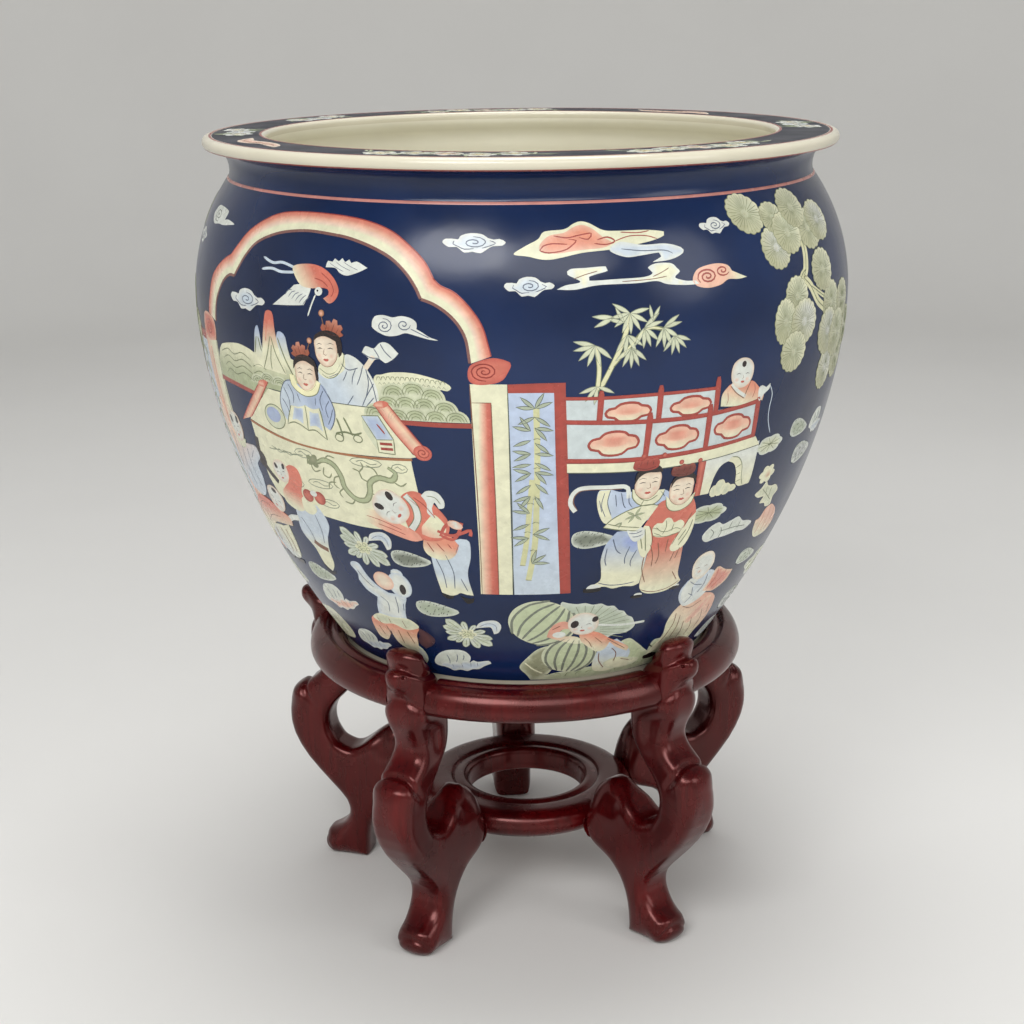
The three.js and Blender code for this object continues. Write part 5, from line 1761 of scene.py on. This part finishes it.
def draw_left_boys():
    """A boy with a drum, two more at the left edge, and what lies round them."""
    with enamel("boy_with_drum", -30) as e:
        e.fill(PALE_BLUE, "-70,158! -58,160 -46,168 -39,162 -36,151 -42,138 -45,126 -46,112 -51,104! -58,110 "
               "-62,124 -72,138", 1, to=(CREAM, (-56, 140), (-55, 122)))
        robe_lines(e, "-66,152 -60,140 -58,130", "-48,158 -46,144 -48,132", on=2)
        e.bar(SEPIA, 4.2, "-60,131 -54,128 -46,126", 2)
        e.fill(BLACK, "-60,112! -54,103.6 -47,105! -50,100.6 -56,101.6", 0.6)
        e.fill(WARM_CORAL, "-69,194! -62,198 -54,196 -52,186 -56,176 -54,166 -60,159 -70,158 -80,163 -80,172 "
               "-74,178 -68,184", 2, to=(CREAM, (-62, 174), (-66, 160)))
        e.fill(CREAM, "-58,170 -52,174 -46,170 -44,163 -50,158 -58,160", 2.6)
        boy_head(e, -75, 190, 0.92, 10, on=3)
        for x, y, r in ((-49, 175, 5.4), (-37, 175, 5.6)):
            e.fill(CORAL, oval(x, y, r, r), 3, rim=BRICK, depth=1.4)
        e.fill(IVORY, oval(-42.4, 178, 3.6, 2.6), 3.6)
        e.bar(IVORY, 5, "-88,143 -80,148 -70,150", 3)
    with enamel("boy_at_left", -60) as e:
        e.fill(PALE_PEACH, "-38,226! -29,228 -23,215 -17,205 -6,202 8,204 20,204 22,196 13,188 13,176 8,164 "
               "-2,158 -20,160! -28,174 -30,192 -39,212", 4, to=(PALE_BLUE, (-12, 206), (2, 182)))
        e.fill(IVORY, oval(-33, 229, 5.4, 4.4, 30), 4.4, rim=CHEEK, depth=1.6)
        robe_lines(e, "-24,208 -23,194 -26,178", "-9,198 -12,182 -8,166", "2,199 0,184 4,168", "14,200 6,192",
                   on=5)
        e.fill(CREAM, "-16,205! -6,209 4,206! 1,200 -7,198 -14,200", 5, rim=PALE_SAGE, depth=1.2)
        boy_head(e, -7, 215, 1.16, 10, on=6)
        e.fill(CREAM, "-24,124! -4,132 10,134 22,138! 20,120 14,106 2,102 -12,104 -22,112", 4,
               to=(PALE_BLUE, (8, 128), (-18, 106)))
        e.fill(WARM_CORAL, "-46,122! -34,144 -16,155 4,156 20,151 31,146 30,139! 14,137 -2,134 -18,124 "
               "-38,112!", 5, to=(CREAM, (-2, 150), (0, 130)))
        e.fill(CREAM, "-46,122! -42,126 -30,116 -36,109! -44,112", 5.4, rim=PALE_SAGE, depth=1.2)
        e.lines(SEPIA, 0.8, "-34,138 -16,149 2,150", "-20,130 -4,140 14,143", "2,130 5,116 2,107",
                "12,131 13,118 10,109", "-12,126 -13,114", on=6)
        for x in (-9, 9):
            e.fill(BLACK, f"{x - 8},104! {x},102.4 {x + 6},103! {x + 5},99 {x - 5},98.6", 3.6)
        boy_head(e, 22, 161, 1.08, -22, on=6, tufts=((-1, 7.4, 3, 1.9, 0),))
        e.bar(HAIR, 5, "27,214 24,198 29,188 38,179", 1)
        e.fill(HAIR, oval(25, 196, 6, 7), 1.6)
        e.fill(PALE_SAGE, "-66,18! -40,36 -14,47 8,50 18,36 14,22 0,16 -22,10 -48,2!", 0, rim=CREAM, depth=4)
        for n in range(9):
            e.line(LEAF_LINE, 0.7, f"{-52 + 7.4 * n},{14 + 3.2 * n} {-44 + 7 * n},{20 + 3.4 * n}", 1)


def draw_melon_boy():
    """A boy on the bank with two melons under a big lotus leaf."""
    def melon(e, x, y, across, up, turn, on):
        with e.at(x, y, across, turn, up=up):
            e.fill(CELADON, oval(0, 0, 1, 1), on, rim=PALE_SAGE, depth=4)
            for bow in (-0.74, -0.42, -0.1, 0.22, 0.52, 0.8):
                side = 1.25 * bow
                e.line(SLATE_GREEN, 2.9, f"{0.55 * bow},0.96 {side * 0.8},0.5 {side * 0.9},0 "
                       f"{side * 0.8},-0.5 {0.55 * bow},-0.96", on + 0.7)

    with enamel("rock_bank", 0) as e:
        e.fill(KHAKI, "-4,22 2,34 10,44 20,46 24,30 18,14 10,6 4,5! 1,12", 1, rim=PALE_SAGE, depth=3)
        e.line(CREAM, 1.6, "0,27 6,19 13,13", 2)
        e.fill(CELADON, "6,5! 30,4 70,4 112,5! 112,10 104,18 96,27 88,38 80,46 70,40 60,20 40,16 20,12", 0,
               rim=PALE_SAGE, depth=3)
        for x in range(14, 106, 8):
            e.line(LEAF_LINE, 0.8, f"{x},{8 + (x * 7) % 5} {x + 2},{12 + (x * 3) % 6} "
                   f"{x + 5},{9 + (x * 5) % 4}", 1)
        e.fill(CELADON, "96,6! 98,22 103,36 112,36 122,32 132,26! 136,14 134,7!", 0, rim=PALE_SAGE, depth=3)
    with enamel("lotus_leaf_big", 0) as e:
        edge = " ".join(f"{x},{y}" for x, y in ((26, 94), (32, 93.4), (38, 92), (44, 92.4), (50, 90),
                                                (56, 90.4), (61, 87), (66, 86.4), (70, 81), (74, 79.4),
                                                (77, 74), (81, 71), (83, 66), (84, 61), (80, 56), (74, 54),
                                                (66, 54), (58, 50), (44, 60), (30, 74)))
        e.fill(MIST_GREEN, edge, 1, rim=FROST, depth=3)
        for n in range(15):
            angle = math.radians(112 - 11 * n)
            x1, y1 = 44 + 12 * math.cos(angle), 64 + 12 * math.sin(angle)
            x2, y2 = 44 + 36 * math.cos(angle), 63 + 27 * math.sin(angle)
            e.line(GREY_GREEN, 0.7, f"{x1},{y1} {x2},{y2}", 2)
        e.bar(IVORY, 2.2, "54,68 64,65.6 76,64 92,63.6", 3)
    with enamel("melons", 0) as e:
        melon(e, 13, 73, 26, 23, -38, 2)
        melon(e, 33, 34, 21, 20, -14, 3)
    with enamel("melon_boy", 0) as e:
        e.fill(PEACH, "16,58! 18,66 22,72 28,74.6 33,72 32,66! 28,66 25,62 28,58! 38,56 44,50 38,48 26,53",
               4.4, to=(CREAM, (26, 66), (36, 52)))
        e.fill(IVORY, oval(25, 60, 5, 3.4), 5)
        e.fill(PALE_BLUE, "58,44! 54,34 51,22 52,12 60,8.6 70,11 78,17 82,28 78,38 70,48!", 4,
               to=(CREAM, (66, 30), (60, 12)))
        e.fill(CREAM, "60,20 64,12 76,10 88,13 90,18 80,22 70,25", 4.4, rim=PALE_SAGE, depth=2)
        e.fill(APRICOT, "40,58! 48,61 56,58 64,50 72,44 80,36 79,31! 70,38 64,46! 60,38 54,36 48,42 42,50", 5,
               to=(CREAM, (56, 54), (50, 40)))
        e.lines(SEPIA, 0.8, "44,54 48,48 50,42", "52,54 58,46", "62,50 70,42 77,35", "56,34 56,24 60,14",
                "66,38 70,30 68,20", "74,22 82,18", "20,66 26,70", on=6)
        boy_head(e, 43, 70, 1.16, 0, on=6, tufts=((-5.6, 0.6, 2.6, 3.6, -16), (7.6, 4, 2, 2.8, -20)))


def draw_right_boy():
    """A boy with a fan at the right."""
    with enamel("boy_with_fan", 30) as e:
        e.fill(CREAM, "28,74! 22,66 20,54 22,40 17,28 14,19! 22,22 27,17! 34,24 44,29 52,24 60,20! 64,30 "
               "70,38 73,52 70,66 62,74 52,78!", 1, to=(BUFF, (40, 40), (58, 64)))
        e.fill(PEACH, "40,50! 46,60 54,70 62,72 60,62 54,52 46,46", 2, rim=SAND, depth=4)
        e.lines(SEPIA, 0.8, "26,64 28,52 26,40 22,30", "32,60 34,46 32,34", "40,50 42,38 40,30",
                "48,52 52,40 50,30", "58,58 62,46 60,34", "66,60 68,50", "30,70 40,66 50,70", on=3)
        e.fill(PALE_BLUE, "24,98! 20,90 21,82 26,74 32,70 42,72 50,78 54,88 52,100 46,104! 32,102", 2,
               to=(IVORY, (30, 96), (44, 76)))
        e.fill(IVORY, "26,100! 22,90 24,80 30,74! 34,80 32,90 36,98!", 2.6)
        robe_lines(e, "27,97 34,92 42,90", "30,84 36,80", "44,100 44,90 40,82", "30,74 34,80 32,90", on=3.4)
        e.fill(IVORY, "24,113 26,120 32,124 39,124 44,119 46,111! 44,105 38,98 30,99 26,104", 3, rim=SKIN,
               depth=3)
        e.fill(CHEEK, oval(33, 106, 3, 2.4), 3.4, rim=IVORY, depth=2)
        e.lines(SEPIA, 0.6, "28,109.6 30,110.4 32,109.6", "36,110 38,110.8 40,110", "33,107 32.4,105", on=4)
        e.fill(SALMON, "46,82! 50,92 52,102 56,104 66,98 78,94! 74,84 62,78 54,79", 3, rim=SAND, depth=2)
        e.lines(BRICK, 0.8, "50,84 56,92 56,102", "56,82 64,90 68,97", on=4)
        e.fill(BLACK, "12,18! 20,20 26,17! 24,13.4 14,13.6", 0.6)
        e.line(BLACK, 1.6, "17,28 14,30 12,33", 0.6)


def draw_rim_sprays():
    """Flower sprays on the flat rim, each in one of three simple kinds."""
    places = ((-88, "blossom"), (-60, "leaf"), (-13, "spray"), (34, "spray"), (94, "blossom"), (142, "leaf"),
              (188, "spray"), (232, "blossom"))
    for n, (azimuth, kind) in enumerate(places):
        with enamel(f"rim_{kind}_{n + 1}", azimuth, rim_point) as e:
            if kind == "leaf":
                e.fill(CHEEK, "-44,-9! -34,1 -20,8 -4,7 6,2 20,4 40,8! 32,-2 16,-8 -2,-9 -20,-5 -34,-8", 0,
                       rim=SKIN, depth=3)
                e.lines(SEPIA, 0.9, "-38,-5 -20,3 0,1 18,-2 34,4", "-24,4 -18,0", "-4,5 0,-4", "12,2 18,-5")
                continue
            reach = 58 if kind == "spray" else 27
            e.line(GREY_GREEN, 1.4, f"{-reach},-4 {-0.5 * reach},5 0,-3 {0.5 * reach},5 {reach},-3", 0)
            for x in np.linspace(-reach, reach, 9 if kind == "spray" else 5):
                leaves(e, x, 3 * math.sin(x), 15, 40 + 3 * x, 160 + 2 * x, -60 + x, colour=SAGE,
                       vein=GREY_GREEN)
            tones = (CREAM, PALE_SAGE, PALE_PEACH) if kind == "spray" else (CLOUD, PALE_BLUE, CLOUD)
            for k, x in enumerate(np.linspace(-0.78 * reach, 0.78 * reach, 5 if kind == "spray" else 3)):
                y = 4 * math.cos(2.2 * k)
                e.fill(tones[k % 3], oval(x, y, 11, 9, 20 * k, 6, 0.4), 1.4, rim=IVORY, depth=3)
                e.fill(HONEY, oval(x, y, 2.8, 2.4), 2.2)
                for ray in range(6):
                    cos, sin = math.cos(math.pi * ray / 3), math.sin(math.pi * ray / 3)
                    e.line(SEPIA, 0.6, f"{x + 3 * cos},{y + 3 * sin} {x + 8 * cos},{y + 7 * sin}", 2.2)


def draw_rings():
    """The painted lines round the rim, the bead and the shoulder."""
    top = RIM_TOP / MM - BOWL_BOTTOM / MM - GLAZE_INSET
    ring_line("rim_line_outer", RIM_FACE - 1.6, top, 1.8, DARK_BRICK)
    ring_line("rim_line_inner", RIM_INNER + 3.6, top, 1.8, DARK_BRICK)
    ring_line("bead_line", RIM_FACE + 2.44, top - 8.5, 2.0, DUSTY_RED, -58)
    wall_ring("shoulder_line", WALL_HEIGHT - 1.3, 2.2, ROSE)


def draw_gate():
    """The left part of the scene, round the moon gate."""
    draw_moon_gate()
    draw_gate_clouds()
    draw_crane()
    draw_hills()
    draw_table()
    draw_readers()


def draw_walk():
    """The part of the scene right of the gate."""
    draw_bamboo_panel()
    draw_clouds()
    draw_bamboo_tree()
    draw_bridge()
    draw_strolling_ladies()
    draw_bridge_boy()


def draw_pond():
    """The children and plants in the lower part of the scene."""
    draw_pond_plants()
    draw_bending_boy()
    draw_reaching_boy()
    draw_left_boys()
    draw_melon_boy()
    draw_right_boy()


def draw_side():
    """What fills the place between the front scene and the one at the back."""
    with enamel("side_sky", 112) as e:
        round_cloud(e, -48, 352, 22, 8, CLOUD, PALE_BLUE)
        tail_cloud(e, 10, 318, 1.1)
        round_cloud(e, 44, 360, 18, 7, CREAM, CORAL, BRICK)
        round_cloud(e, -34, 286, 18, 7)
        tail_cloud(e, 30, 262, 0.9, 8, True)
    with enamel("side_pond", 112) as e:
        lotus(e, -22, 222, 1.2)
        pod(e, 26, 204, 36, 12, colour=SLATE_GREEN)
        pad(e, -30, 176, 20, 9, 0)
        lump_leaf(e, 20, 160, 1.1, 0)
        lotus(e, 6, 118, 1.0, 0, True)
        pod(e, -46, 126, 34, 0, colour=LICHEN)
        pad(e, 34, 82, 18, 8, 0)
        lump_leaf(e, -26, 76, 1.0, 0, tip=BLUSH)
        pod(e, 4, 38, 34, 0, colour=LICHEN)


# How far round the bowl the scene comes again, in degrees.
BACK_TURN = 210


def draw_bowl():
    """The courtyard scene, which runs once round the front and once round the back."""
    draw_rim_sprays()
    draw_rings()
    draw_side()
    for name, draw in (("gate", draw_gate), ("walk", draw_walk), ("pine", draw_pine), ("pond", draw_pond)):
        draw()
        with repeated(f"back_{name}", BACK_TURN):
            draw()


finish_cad_nodes()
make_bowl()
make_legs()
make_rails()
make_stretcher()
draw_bowl()
make_camera()
make_stage()
make_lights()
bpy.context.scene.view_settings.view_transform = "Standard"
